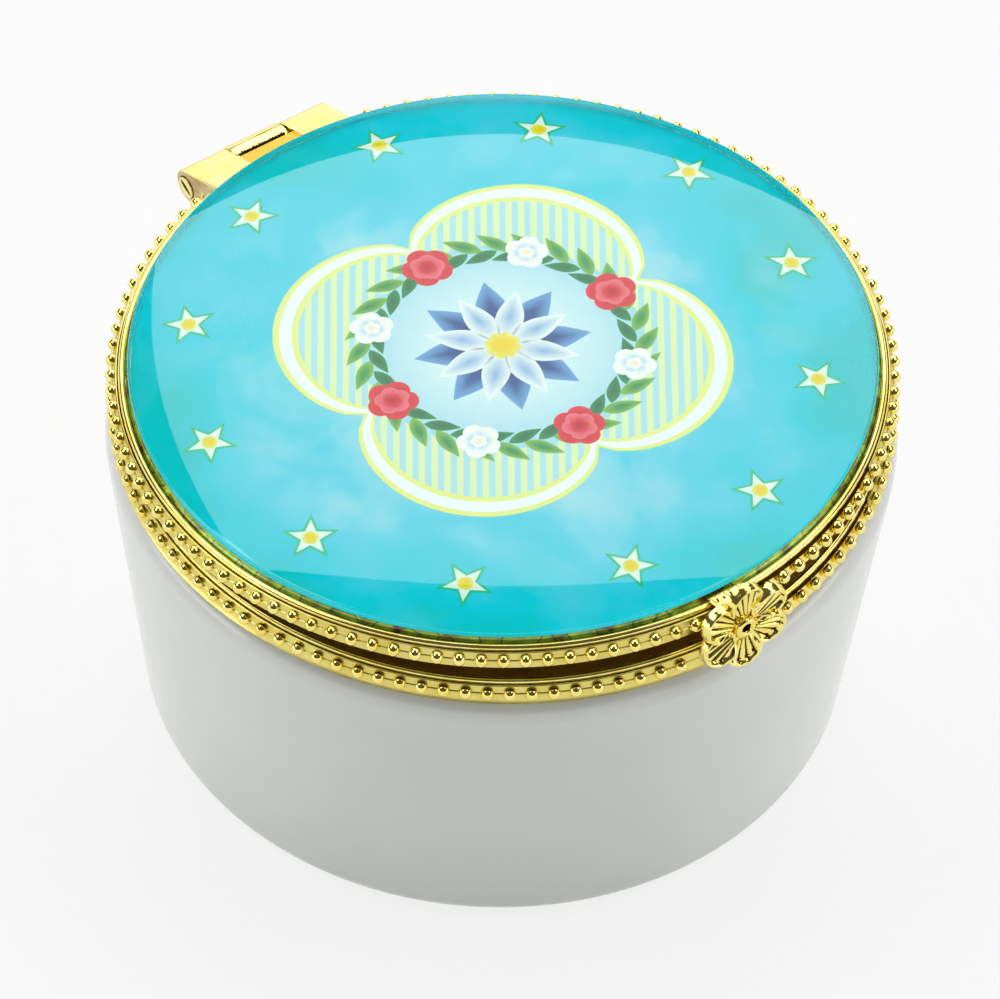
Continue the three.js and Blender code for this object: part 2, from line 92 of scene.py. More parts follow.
def face_radius_at(beads_z, z, out):
    """The face's distance from the axis at a height."""
    return FACE_RADIUS - (z - beads_z) * math.tan(SLOPE) + out / math.cos(SLOPE)


def arc(centre, radius, start, end, steps):
    """Points round a centre, between two angles in degrees."""
    points = []
    for i in range(steps + 1):
        angle = math.radians(start + (end - start) * i / steps)
        points.append((centre[0] + radius * math.cos(angle), centre[1] + radius * math.sin(angle)))
    return points


# %% [markdown]
# ## Working by hand with operators
# An operator works on whatever is selected. The helpers below always clear the selection first,
# draw one line from point to point by extruding a single corner, and then turn it round the axis
# or push it sideways. That is how a lathe and a rolling mill make the real parts too.

# %% Selecting, drawing a line, turning and pushing it
def deselect_all():
    if bpy.context.mode != "OBJECT":
        bpy.ops.object.mode_set(mode="OBJECT")
    bpy.ops.object.select_all(action="DESELECT")


def pick(piece):
    deselect_all()
    piece.select_set(True)
    bpy.context.view_layer.objects.active = piece


def draw_line(points, closed=False):
    """A chain of edges through points in millimetres. It stays in edit mode, all selected."""
    deselect_all()
    bpy.ops.mesh.primitive_plane_add(size=MM)
    bpy.ops.object.mode_set(mode="EDIT")
    bpy.ops.mesh.merge(type="CENTER")
    bpy.ops.transform.translate(value=Vector(points[0]) * MM)
    for start, end in zip(points, points[1:]):
        step = (Vector(end) - Vector(start)) * MM
        bpy.ops.mesh.extrude_region_move(TRANSFORM_OT_translate={"value": step})
    bpy.ops.mesh.select_all(action="SELECT")
    if closed:
        bpy.ops.mesh.edge_face_add()
    return bpy.context.active_object


def tidy_mesh():
    """Closes seams, makes the faces point outwards and leaves edit mode."""
    bpy.ops.mesh.select_all(action="SELECT")
    bpy.ops.mesh.remove_doubles(threshold=WELD * MM)
    bpy.ops.mesh.normals_make_consistent(inside=False)
    bpy.ops.object.mode_set(mode="OBJECT")


def turn_on_lathe(section, closed=False, start=0.0, sweep=2 * math.pi, steps_round=LATHE_STEPS):
    """Spins a section of (distance, height) points about the box's axis."""
    direction = Vector((math.cos(start), math.sin(start), 0))
    piece = draw_line([direction * r + Vector((0, 0, z)) for r, z in section], closed)
    if closed:
        bpy.ops.mesh.delete(type="ONLY_FACE")
        bpy.ops.mesh.select_all(action="SELECT")
    steps = max(8, round(steps_round * sweep / (2 * math.pi)))
    bpy.ops.mesh.spin(steps=steps, angle=sweep, center=(0, 0, 0), axis=(0, 0, 1))
    bpy.ops.mesh.select_all(action="SELECT")
    bpy.ops.mesh.remove_doubles(threshold=WELD * MM)
    if sweep < 2 * math.pi:  # less than a full turn leaves both ends open
        bpy.ops.mesh.select_all(action="SELECT")
        bpy.ops.mesh.fill_holes(sides=0)
    tidy_mesh()
    return piece


def push_along_x(section, length, middle):
    """Extrudes a closed section of (y, height) points sideways, centred on middle."""
    x = middle - length / 2
    piece = draw_line([(x, y, z) for y, z in section], closed=True)
    bpy.ops.mesh.extrude_region_move(TRANSFORM_OT_translate={"value": (length * MM, 0, 0)})
    tidy_mesh()
    return piece


def cut_away(piece, *cutters):
    """Cuts solids out of a piece with boolean modifiers, and removes them."""
    for cutter in cutters:
        pick(piece)
        cut = piece.modifiers.new("cut", "BOOLEAN")
        cut.operation = "DIFFERENCE"
        cut.object = cutter
        bpy.ops.object.modifier_apply(modifier=cut.name)
        bpy.data.objects.remove(cutter)


def soften_edges(piece, width, segments=2, angle=40):
    """Rounds the sharp edges, as plating and polishing do."""
    pick(piece)
    bevel = piece.modifiers.new("soften", "BEVEL")
    bevel.width = width * MM
    bevel.segments = segments
    bevel.limit_method = "ANGLE"
    bevel.angle_limit = math.radians(angle)
    bpy.ops.object.modifier_apply(modifier=bevel.name)


def paint_faces(piece, material, belongs):
    """Gives a second finish to the faces that belong, judged by middle (mm) and normal."""
    piece.data.materials.append(material)
    index = len(piece.data.materials) - 1
    painted = [f for f in piece.data.polygons if belongs(f.center / MM, f.normal)]
    for face in painted:
        face.material_index = index
    print("painted", len(painted), "faces with", material.name)


def join_pieces(pieces):
    deselect_all()
    for piece in pieces:
        piece.select_set(True)
    bpy.context.view_layer.objects.active = pieces[0]
    bpy.ops.object.join()
    return pieces[0]


# %% [markdown]
# ## Putting a piece in its place
# A finished piece lies at the origin with its place in its mesh. The lid's pieces are tipped
# about the hinge pin first, then every piece is hung on the body it rides on and given its
# finish, and the CAD nodes it stands for are hidden.

# %% Finishing a piece
def put_in_place(piece, name, material, body, nodes=(), smooth_angle=35, flats=False):
    pick(piece)
    if body == "lid":
        tip = Matrix.Rotation(ajar, 4, Vector(hinge_joint["axis"]))
        about_hinge = Matrix.Translation(hinge_point) @ tip @ Matrix.Translation(-hinge_point)
        piece.matrix_world = about_hinge @ piece.matrix_world
    bpy.ops.object.transform_apply(location=True, rotation=True, scale=True)
    bpy.ops.object.shade_smooth_by_angle(angle=math.radians(smooth_angle))
    if flats:
        # large faces keep their own normals, so that only the softened edges look round
        even = piece.modifiers.new("even", "WEIGHTED_NORMAL")
        even.keep_sharp = True
        bpy.ops.object.modifier_apply(modifier=even.name)
    piece.name = name
    piece.data.name = name
    if material and not piece.data.materials:
        piece.data.materials.append(material)
    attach(piece, body)
    if nodes:
        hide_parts(*nodes)
    print(name, len(piece.data.polygons), "faces")


# %% [markdown]
# ## Building finishes from nodes
# One helper adds a node, sets it and links it. Colours are written as the hex values that a
# screen shows, and are turned to the linear values that Blender mixes light in.

# %% Helpers for materials
def linear(hex_colour):
    """An sRGB hex colour as linear RGBA."""
    shown = [int(hex_colour[i : i + 2], 16) / 255 for i in (0, 2, 4)]
    return (*(v / 12.92 if v <= 0.04045 else ((v + 0.055) / 1.055) ** 2.4 for v in shown), 1.0)


def feed(node, inputs):
    """Links a socket that is given for an input, and sets anything else as its value."""
    for name, value in inputs.items():
        if isinstance(value, bpy.types.NodeSocket):
            node.id_data.links.new(value, node.inputs[name])
        else:
            node.inputs[name].default_value = value


def add_node(tree, kind, inputs=None, stops=(), **settings):
    """Adds one node with its settings, its inputs and, for a colour ramp, its stops."""
    node = tree.nodes.new(kind)
    for name, value in settings.items():
        setattr(node, name, value)
    feed(node, inputs or {})
    for i, (position, colour) in enumerate(stops):
        ramp = node.color_ramp.elements
        stop = ramp[i] if i < 2 else ramp.new(position)
        stop.position = position
        stop.color = linear(colour)
    return node


def start_material(name):
    """A material with one Principled shader, and its coordinates in metres."""
    material = bpy.data.materials.new(name)
    material.use_nodes = True
    tree = material.node_tree
    place = add_node(tree, "ShaderNodeTexCoord").outputs["Object"]
    return material, tree, tree.nodes["Principled BSDF"], place


# %% [markdown]
# ## Porcelain under a clear glaze
# The bowl is white porcelain, dipped in clear gloss glaze. The glaze is glass, so it has glass's
# reflection and hardly any roughness, and it pools a little, which bends the reflections. A few
# iron specks show in it. The ring it stands on is wiped bare before firing.

# %% Porcelain
BARE_HEIGHT = 0.35  # the glaze is wiped off up to here


def make_porcelain():
    material, tree, shader, place = start_material("white porcelain, clear gloss glaze")
    cloud = add_node(tree, "ShaderNodeTexNoise", {"Vector": place, "Scale": 1 / (18 * MM)})
    tone = add_node(
        tree, "ShaderNodeValToRGB", {"Fac": cloud.outputs["Fac"]},
        [(0.3, "E1E6E3"), (0.7, "E8ECE9")],
    )
    # iron specks up to 0.2 mm wide, a few on the whole bowl
    cells = add_node(tree, "ShaderNodeTexVoronoi", {"Vector": place, "Scale": 1 / (4.5 * MM)})
    reach = {"From Min": 0.6, "From Max": 0.9, "To Min": 0.0, "To Max": 0.025}
    width = add_node(tree, "ShaderNodeMapRange", {"Value": cells.outputs["Color"], **reach})
    speck = add_node(
        tree, "ShaderNodeMath", {0: cells.outputs["Distance"], 1: width.outputs["Result"]},
        operation="LESS_THAN",
    )
    specked = add_node(
        tree, "ShaderNodeMix",
        {0: speck.outputs["Value"], 6: tone.outputs["Color"], 7: linear("8F8A80")},
        data_type="RGBA",
    )
    height = add_node(tree, "ShaderNodeSeparateXYZ", {"Vector": place})
    bare = add_node(
        tree, "ShaderNodeMath", {0: height.outputs["Z"], 1: BARE_HEIGHT * MM}, operation="LESS_THAN"
    )
    colour = add_node(
        tree, "ShaderNodeMix",
        {0: bare.outputs["Value"], 6: specked.outputs[2], 7: linear("DAD5C9")},
        data_type="RGBA",
    )
    gloss = add_node(
        tree, "ShaderNodeMapRange", {"Value": bare.outputs["Value"], "To Min": 0.05, "To Max": 0.65}
    )
    pool = add_node(
        tree, "ShaderNodeTexNoise", {"Vector": place, "Scale": 1 / (9 * MM), "Detail": 1.0}
    )
    bump = add_node(
        tree, "ShaderNodeBump",
        {"Height": pool.outputs["Fac"], "Distance": 0.05 * MM, "Strength": 0.4},
    )
    feed(shader, {
        "Base Color": colour.outputs[2],
        "Roughness": gloss.outputs["Result"],
        "Normal": bump.outputs["Normal"],
        "IOR": 1.52,
    })
    return material


# %% [markdown]
# ## Gold plate on brass
# All the metal is brass with a thin bright gold plate. What differs is the skin under it: rolled
# wire keeps faint lines from the rolls, sheet keeps fine scratches, and a casting keeps the
# mould's grain. The colour drifts a little at random. Some finishes are painted light and shade:
# the hinge leaf paler as a painted highlight, the web deeper as a painted reflection, and the
# flange browner and the hollows dark as painted shade.

# %% Gold
def make_gold(name, grain, depth, rough, colours):
    """grain is how often the skin's pattern repeats in a metre, along X, Y and Z."""
    material, tree, shader, place = start_material(name)
    drift = add_node(
        tree, "ShaderNodeTexNoise",
        {"Vector": place, "Scale": 1 / (3 * MM), "Detail": 4.0, "Roughness": 0.6},
    )
    tone = add_node(
        tree, "ShaderNodeValToRGB", {"Fac": drift.outputs["Fac"]},
        [(0.3, colours[0]), (0.7, colours[1])],
    )
    stretched = add_node(tree, "ShaderNodeMapping", {"Vector": place, "Scale": grain})
    skin = add_node(
        tree, "ShaderNodeTexNoise",
        {"Vector": stretched.outputs["Vector"], "Scale": 1.0, "Detail": 3.0},
    )
    reach = {"From Min": 0.3, "From Max": 0.7, "To Min": rough[0], "To Max": rough[1]}
    gloss = add_node(tree, "ShaderNodeMapRange", {"Value": skin.outputs["Fac"], **reach})
    bump = add_node(
        tree, "ShaderNodeBump",
        {"Height": skin.outputs["Fac"], "Distance": depth * MM, "Strength": 0.5},
    )
    feed(shader, {
        "Base Color": tone.outputs["Color"],
        "Roughness": gloss.outputs["Result"],
        "Normal": bump.outputs["Normal"],
        "Metallic": 1.0,
    })
    return material


# %% [markdown]
# ## Cement, glue and glass
# Cement is dull and granular. The glue round the glass is clear and glossy, cracked where it
# shrank, and shows the gold through it, so it is given a greenish gold colour. Glass is glass:
# full transmission. For shadow rays alone it turns transparent, so lamps light the picture
# through it without thousands of samples.

# %% Cement, glue and glass
def make_cement():
    material, tree, shader, place = start_material("set plaster cement")
    grit = add_node(tree, "ShaderNodeTexNoise", {"Vector": place, "Scale": 1 / (0.3 * MM)})
    tone = add_node(
        tree, "ShaderNodeValToRGB", {"Fac": grit.outputs["Fac"]}, [(0.3, "BDB59E"), (0.7, "D8D1BD")]
    )
    bump = add_node(
        tree, "ShaderNodeBump", {"Height": grit.outputs["Fac"], "Distance": 0.05 * MM}
    )
    feed(shader, {
        "Base Color": tone.outputs["Color"], "Normal": bump.outputs["Normal"], "Roughness": 0.85
    })
    return material


def make_glue():
    material, tree, shader, place = start_material("clear glue over gilt, crazed")
    cracks = add_node(
        tree, "ShaderNodeTexVoronoi", {"Vector": place, "Scale": 1 / (2.4 * MM)},
        feature="DISTANCE_TO_EDGE",
    )
    patches = add_node(
        tree, "ShaderNodeTexNoise", {"Vector": place, "Scale": 1 / (1.6 * MM), "Detail": 4.0}
    )
    tone = add_node(
        tree, "ShaderNodeValToRGB", {"Fac": patches.outputs["Fac"]},
        [(0.34, "6E4A12"), (0.7, "A8C840"), (0.46, "7E9A20")],
    )
    # a crack is dark in its middle and fades out over 0.1 mm to each side
    line = add_node(
        tree, "ShaderNodeMapRange",
        {"Value": cracks.outputs["Distance"], "From Max": 0.04, "To Min": 0.1, "To Max": 1.0},
    )
    colour = add_node(
        tree, "ShaderNodeMix",
        {0: line.outputs["Result"], 6: linear("3A2A08"), 7: tone.outputs["Color"]},
        data_type="RGBA",
    )
    bump = add_node(
        tree, "ShaderNodeBump",
        {"Height": patches.outputs["Fac"], "Distance": 0.15 * MM, "Strength": 0.8},
    )
    feed(shader, {
        "Base Color": colour.outputs[2],
        "Normal": bump.outputs["Normal"],
        "Metallic": 0.55,
        "Roughness": 0.22,
        "Coat Weight": 1.0,
        "Coat Roughness": 0.05,
    })
    return material


def make_glass():
    material, tree, shader, place = start_material("clear polished soda glass")
    waves = add_node(
        tree, "ShaderNodeTexNoise", {"Vector": place, "Scale": 1 / (14 * MM), "Detail": 1.0}
    )
    bump = add_node(
        tree, "ShaderNodeBump",
        {"Height": waves.outputs["Fac"], "Distance": 0.02 * MM, "Strength": 0.3},
    )
    feed(shader, {
        "Base Color": linear("F6FEFD"),
        "Normal": bump.outputs["Normal"],
        "Transmission Weight": 1.0,
        "IOR": 1.5,
        "Roughness": 0.02,
    })
    light = add_node(tree, "ShaderNodeLightPath")
    clear = add_node(tree, "ShaderNodeBsdfTransparent", {"Color": linear("F4FCFB")})
    both = add_node(
        tree, "ShaderNodeMixShader",
        {0: light.outputs["Is Shadow Ray"], 1: shader.outputs["BSDF"], 2: clear.outputs["BSDF"]},
    )
    feed(tree.nodes["Material Output"], {"Surface": both.outputs["Shader"]})
    return material


# %% [markdown]
# ## Printed card
# The picture is an offset print on gloss card. Its ground runs from turquoise at the edge to
# pale blue in the middle, with soft clouds. A shape printed on it, such as a petal, has one
# colour at its heart and another at its outline, and the mesh carries how far out a point is.

# %% Printing inks
def lay_under_glass(shader):
    """Glass lies on the ink with no air between, so the ink has no shine of its own."""
    feed(shader, {"Roughness": 0.5, "Specular IOR Level": 0.0})


def make_sky_print():
    material, tree, shader, place = start_material("offset print on card, cloudy sky")
    flat = add_node(tree, "ShaderNodeMapping", {"Vector": place, "Scale": (1.0, 1.0, 0.0)})
    out = add_node(
        tree, "ShaderNodeVectorMath", {0: flat.outputs["Vector"]}, operation="LENGTH"
    )
    cloud = add_node(
        tree, "ShaderNodeTexNoise",
        {"Vector": flat.outputs["Vector"], "Scale": 1 / (15 * MM), "Detail": 5.0,
         "Roughness": 0.55},
    )
    # clouds push the rings of colour in and out by up to 8 mm
    reach = {"From Min": 0.3, "From Max": 0.7, "To Min": -8 * MM, "To Max": 8 * MM}
    wander = add_node(tree, "ShaderNodeMapRange", {"Value": cloud.outputs["Fac"], **reach})
    pushed = add_node(
        tree, "ShaderNodeMath", {0: out.outputs["Value"], 1: wander.outputs["Result"]},
        operation="ADD",
    )
    share = add_node(
        tree, "ShaderNodeMath", {0: pushed.outputs["Value"], 1: 30 * MM}, operation="DIVIDE"
    )
    colour = add_node(
        tree, "ShaderNodeValToRGB", {"Fac": share.outputs["Value"]},
        [(0.0, "C4E2E6"), (1.0, "00C2C6"), (0.35, "A2D8E2"), (0.6, "50CADE"), (0.85, "06C8D8")],
    )
    wisps = add_node(
        tree, "ShaderNodeTexNoise",
        {"Vector": flat.outputs["Vector"], "Scale": 1 / (9 * MM), "Detail": 6.0, "Distortion": 0.6},
    )
    amount = add_node(
        tree, "ShaderNodeMapRange",
        {"Value": wisps.outputs["Fac"], "From Min": 0.5, "From Max": 0.8, "To Max": 0.5},
    )
    # the wisps stay clear of the turquoise edge
    reach = {"From Min": 20 * MM, "From Max": 26 * MM, "To Min": 1.0, "To Max": 0.15}
    within = add_node(tree, "ShaderNodeMapRange", {"Value": out.outputs["Value"], **reach})
    cloudy = add_node(
        tree, "ShaderNodeMath", {0: amount.outputs["Result"], 1: within.outputs["Result"]},
        operation="MULTIPLY",
    )
    clouded = add_node(
        tree, "ShaderNodeMix",
        {0: cloudy.outputs["Value"], 6: colour.outputs["Color"], 7: linear("CBE4E6")},
        data_type="RGBA",
    )
    feed(shader, {"Base Color": clouded.outputs[2]})
    lay_under_glass(shader)
    return material


def make_ink(name, heart, outline, heart_share=0.25):
    """Ink that runs from the colour at a shape's heart to the one at its outline."""
    material, tree, shader, place = start_material(name)
    outward = add_node(tree, "ShaderNodeAttribute", attribute_name="outward")
    mottle = add_node(tree, "ShaderNodeTexNoise", {"Vector": place, "Scale": 1 / (0.6 * MM)})
    uneven = add_node(
        tree, "ShaderNodeMapRange",
        {"Value": mottle.outputs["Fac"], "To Min": -0.08, "To Max": 0.08},
    )
    amount = add_node(
        tree, "ShaderNodeMath", {0: outward.outputs["Fac"], 1: uneven.outputs["Result"]},
        operation="ADD",
    )
    colour = add_node(
        tree, "ShaderNodeValToRGB", {"Fac": amount.outputs["Value"]},
        [(heart_share, heart), (1.0, outline)],
    )
    feed(shader, {"Base Color": colour.outputs["Color"]})
    lay_under_glass(shader)
    return material


def make_hatched_ink():
    """Pale yellow and pale blue lines, one millimetre from line to line."""
    material, tree, shader, place = start_material("hatched panel ink")
    turned = add_node(tree, "ShaderNodeMapping", {"Vector": place, "Rotation": (0, 0, 0.6)})
    # the node draws 20 / (2 pi) lines to a unit at scale 1
    lines = add_node(
        tree, "ShaderNodeTexWave",
        {"Vector": turned.outputs["Vector"], "Scale": 2 * math.pi / 20 / (1.0 * MM)},
    )
    colour = add_node(
        tree, "ShaderNodeValToRGB", {"Fac": lines.outputs["Fac"]},
        [(0.35, "B0DCE4"), (0.6, "E4ECB0")],
    )
    feed(shader, {"Base Color": colour.outputs["Color"]})
    lay_under_glass(shader)
    return material


# %% Making the finishes
porcelain = make_porcelain()
cement = make_cement()
glue = make_glue()
glass = make_glass()
sky_print = make_sky_print()
BRIGHT = ("F2D966", "F9EF9A")
ROLLED = (900, 900, 5000)  # lines round the rim, 0.2 mm apart
CAST = (2600, 2600, 2600)  # grains of 0.4 mm
ROUGH = (3500, 3500, 3500)  # grains of 0.3 mm
rolled_gold = make_gold("gold plate on rolled brass", ROLLED, 0.008, (0.1, 0.2), BRIGHT)
strip_gold = make_gold(
    "satin gold plate on brass strip", (1500, 1500, 6000), 0.01, (0.26, 0.38), ("D6C566", "E6DA82")
)
bead_gold = make_gold(
    "bright gold plate on beads", (2500, 2500, 2500), 0.01, (0.05, 0.12), BRIGHT
)
sheet_gold = make_gold(
    "gold plate on sheet brass", (700, 4000, 4000), 0.01, (0.1, 0.22), ("F7E98E", "F9EF9A")
)
# the hinge leaf's gold is paler than the cast gold: a painted highlight
leaf_highlight_gold = make_gold(
    "gold plate on the hinge leaf, painted paler as a highlight", CAST, 0.008, (0.12, 0.22), ("F4E684", "FAF2B2")
)
# the web's gold is deeper and redder: a painted reflection of the knuckle
web_reflection_gold = make_gold(
    "deeper gold on the web, painted reflection", CAST, 0.01, (0.2, 0.3), ("EFC02E", "F7D648")
)
# the flange's gold is browner: painted shade in the gap under the lid
flange_shade_gold = make_gold(
    "gold plate on the flange, painted browner as shade", ROLLED, 0.01, (0.42, 0.54), ("CC9440", "E8B860")
)
cast_gold = make_gold("gold plate on cast brass", CAST, 0.008, (0.1, 0.18), BRIGHT)
raw_gold = make_gold(
    "gold plate on a sawn end", ROUGH, 0.08, (0.3, 0.5), ("B89864", "EEDCAA")
)
# dark gold for the grooves, the hinge seam, the pin's slot and the flower's dimple: painted shade
painted_shade_gold = make_gold("dark gold, painted shade in hollows", ROUGH, 0.06, (0.5, 0.7), ("1C0F02", "5A3A0A"))
print("finishes:", [m.name for m in bpy.data.materials if m.users])

# %% [markdown]
# ## The porcelain bowl
# A real bowl is jiggered: clay is pressed against a turning mould by a template with the bowl's
# section. Turning a drawn section does the same. The neck at the top is thinner and goes up
# inside the metal rim.

# %% Bowl
SHOULDER_RADIUS = 31.85
SHOULDER_Z = 29.4
SHOULDER_ROUND = 2.2
FOOT_EDGE = 26.9
FOOT_ROUND = 1.95
RING_INSIDE = 22.0  # the hollow in the foot ring
RING_ROUND = 0.3
HOLLOW_TOP = 0.8
NECK_RADIUS = 30.109
NECK_INSIDE = 27.409
NECK_TOP = 30.3396
NECK_HEIGHT = 1.6
FLOOR_TOP = 3.2
INSIDE_ROUND = 3.0
WALL = 3.1


def make_bowl():
    """From the hollow underneath, out over the foot, up the side and down the inside."""
    shoulder = SHOULDER_RADIUS - SHOULDER_ROUND
    lean = (SHOULDER_RADIUS - FOOT_EDGE - FOOT_ROUND) / (SHOULDER_Z - SHOULDER_ROUND - FOOT_ROUND)
    corner_z = FLOOR_TOP + INSIDE_ROUND
    inside = lambda z: FOOT_EDGE + FOOT_ROUND + lean * (z - FOOT_ROUND) - WALL
    neck_bottom = NECK_TOP - NECK_HEIGHT
    wall_top = neck_bottom - (inside(neck_bottom) - NECK_INSIDE)
    section = [(0, HOLLOW_TOP), (RING_INSIDE - RING_ROUND, HOLLOW_TOP)]
    section += arc((RING_INSIDE + RING_ROUND, RING_ROUND), RING_ROUND, 180, 270, 3)
    section += arc((FOOT_EDGE, FOOT_ROUND), FOOT_ROUND, -90, 0, 12)
    section += arc((shoulder, SHOULDER_Z - SHOULDER_ROUND), SHOULDER_ROUND, 0, 90, 10)
    section += [(NECK_RADIUS, SHOULDER_Z), (NECK_RADIUS, NECK_TOP - 0.2)]
    section += arc((NECK_RADIUS - 0.2, NECK_TOP - 0.2), 0.2, 30, 90, 3)
    section += arc((NECK_INSIDE + 0.4, NECK_TOP - 0.4), 0.4, 90, 180, 5)
    section += [(NECK_INSIDE, neck_bottom), (inside(wall_top), wall_top)]
    section += arc((inside(corner_z) - INSIDE_ROUND, corner_z), INSIDE_ROUND, 0, -90, 10)
    section += [(0, FLOOR_TOP)]
    return turn_on_lathe(section)


put_in_place(make_bowl(), "porcelain_bowl", porcelain, "base", ["bowl"])

# %% [markdown]
# ## The two rims
# Each rim is rolled from brass strip: a sloping skirt that carries the beads, and a small round
# roll along its top with a groove under it, which is painted dark as painted shade. The base's
# rim has a flange turned in over the bowl's neck. It lies in the lid's shade, and its flat top
# is painted a browner gold as painted shade. The lid's rim has a ledge that the picture and the
# glass sit on.

# %% Rims
SKIRT_WALL = 0.42
GROOVE_START = 0.22  # above the middle of the strip
GROOVE_DEPTH = 0.1
FLANGE_TOP = 31.0996
FLANGE_LIP = 27.109
FLANGE_WALL = 0.4
FLANGE_REACH = 30.0  # its flat top ends at the roll
LIP_LENGTH = 1.5
LEDGE_TOP = 32.0496
LEDGE_UNDERSIDE = 31.6996
LEDGE_EDGE = 26.47
LEDGE_ROUND = 0.17
LID_SKIRT_BOTTOM = 31.5996


def rim_outside(beads_z, below):
    """The skirt's face from its bottom edge up, the groove, and over the roll."""
    roll = (ROLL_CENTRE, beads_z + ROLL_RISE)
    return [
        on_face(beads_z, -below, -STRIP_SEAT),
        on_face(beads_z, GROOVE_START, -STRIP_SEAT),
        on_face(beads_z, GROOVE_START + 0.08, -STRIP_SEAT - GROOVE_DEPTH),
        *arc(roll, ROLL_RADIUS, -50, 180, 18),
    ]


def paint_groove(rim, beads_z):
    """The groove under the roll is painted dark, as painted shade."""

    def in_groove(middle, normal):
        outside = middle.xy.length > ROLL_CENTRE + 0.1
        return outside and beads_z + 0.15 < middle.z < beads_z + ROLL_RISE - 0.07

    rim.data.materials.append(rolled_gold)
    paint_faces(rim, painted_shade_gold, in_groove)
    return rim


def make_base_rim():
    outside = rim_outside(BASE_BEADS_Z, BASE_SKIRT)
    bottom = outside[0][1]
    underside = FLANGE_TOP - FLANGE_WALL
    lip_bottom = FLANGE_TOP - LIP_LENGTH
    inner = lambda z: face_radius_at(BASE_BEADS_Z, z, -STRIP_SEAT) - SKIRT_WALL
    section = [(inner(bottom), bottom), *outside]
    section += arc((FLANGE_LIP, underside), FLANGE_WALL, 90, 180, 6)
    section += [(FLANGE_LIP - FLANGE_WALL, lip_bottom), (FLANGE_LIP, lip_bottom)]
    section += [(FLANGE_LIP, underside), (inner(underside), underside)]
    return turn_on_lathe(section, closed=True)


def make_lid_rim():
    inner = lambda z: face_radius_at(LID_BEADS_Z, z, -STRIP_SEAT) - SKIRT_WALL
    section = [(inner(LID_SKIRT_BOTTOM), LID_SKIRT_BOTTOM), *rim_outside(LID_BEADS_Z, LID_SKIRT)]
    section += [(ROLL_CENTRE - ROLL_RADIUS, LEDGE_TOP)]
    section += arc((LEDGE_EDGE + LEDGE_ROUND, LEDGE_TOP - LEDGE_ROUND), LEDGE_ROUND, 90, 270, 6)
    section += [(inner(LEDGE_UNDERSIDE), LEDGE_UNDERSIDE)]
    return turn_on_lathe(section, closed=True)


def on_flange(middle, normal):
    return normal.z > 0.9 and middle.xy.length < FLANGE_REACH


base_rim = paint_groove(make_base_rim(), BASE_BEADS_Z)
# the flange's flat top is painted browner, as painted shade
paint_faces(base_rim, flange_shade_gold, on_flange)
put_in_place(base_rim, "base_rim_rolled", None, "base", ["base_rim"])
lid_rim = paint_groove(make_lid_rim(), LID_BEADS_Z)
put_in_place(lid_rim, "lid_rim_rolled", None, "lid", ["lid_rim"])

# %% [markdown]
# ## Beaded strips
# Jewellers buy beaded strip by the metre: beads are rolled up out of thin brass, with a fine
# groove between one and the next. One bead is modelled as half a sphere, with few faces because
# there are about two hundred. It is copied along each strip at the photograph's spacing.

# %% Strips and beads
BEAD_COUNT = 113
BEAD_RADIUS = 0.56
BEAD_DROP = 0.08  # along the face, below the strip's middle
BEAD_RISE = 0.04  # out of the face
FINE_GROOVE = 0.07
STRIP_TOP = 0.6
FLARE_TOP = 0.28
TONGUE_WIDTH = 3.6
HINGE_LENGTH = 14.0
pitch = 2 * math.pi / BEAD_COUNT


def copy_of(piece, place):
    """A copy with a mesh of its own, put in its place."""
    copy = bpy.data.objects.new("copy", piece.data.copy())
    bpy.context.scene.collection.objects.link(copy)
    copy.matrix_world = place
    return copy


def make_bead():
    """Half a sphere with its pole along +Z and its flat side open towards the strip."""
    deselect_all()
    bpy.ops.mesh.primitive_uv_sphere_add(segments=14, ring_count=8, radius=BEAD_RADIUS * MM)
    bpy.ops.object.mode_set(mode="EDIT")
    bpy.ops.mesh.select_all(action="SELECT")
    # a plane just behind the strip's face cuts off the back half, and a face closes it
    cut = (0, 0, -(BEAD_RISE + 0.06) * MM)
    bpy.ops.mesh.bisect(plane_co=cut, plane_no=(0, 0, 1), clear_inner=True, use_fill=True)
    bpy.ops.object.mode_set(mode="OBJECT")
    bead = bpy.context.active_object
    bead.data.materials.append(bead_gold)
    return bead


def strip_section(beads_z, below, flare):
    """A thin strip with a groove along its beads and, on the base, a flared bottom edge."""
    flared = -below + FLARE_TOP
    front = [(-below, flare), (flared, 0), (-BEAD_DROP - FINE_GROOVE, 0)]
    front += [(-BEAD_DROP, -FINE_GROOVE), (-BEAD_DROP + FINE_GROOVE, 0), (STRIP_TOP - 0.05, 0)]
    top = [(STRIP_TOP, -0.05), (STRIP_TOP, -STRIP_THICKNESS)]
    back = [(flared, -STRIP_THICKNESS), (-below, flare - STRIP_THICKNESS)]
    return [on_face(beads_z, along, out) for along, out in front + top + back]


def make_strip(section, beads_z, shift, start, end):
    """start and end count beads from the clasp's middle, and shift moves the beads along."""
    strip = turn_on_lathe(section, True, -math.pi / 2 + start * pitch, (end - start) * pitch)
    strip.data.materials.append(strip_gold)
    bead = make_bead()
    distance, z = on_face(beads_z, -BEAD_DROP, BEAD_RISE)
    seat = Matrix.Translation((distance * MM, 0, z * MM))
    seat = seat @ Matrix.Rotation(math.pi / 2 - SLOPE, 4, "Y")
    beads = []
    for index in range(math.ceil(start + 0.5 - shift), math.floor(end - 0.5 - shift) + 1):
        turn = Matrix.Rotation(-math.pi / 2 + (index + shift) * pitch, 4, "Z")
        beads.append(copy_of(bead, turn @ seat))
    bpy.data.objects.remove(bead)
    print("beads:", len(beads))
    return join_pieces([strip, *beads])


def beads_to(length):
    """How many beads fit between the middle and a distance to the side of it."""
    return math.asin(length / FACE_RADIUS) / pitch


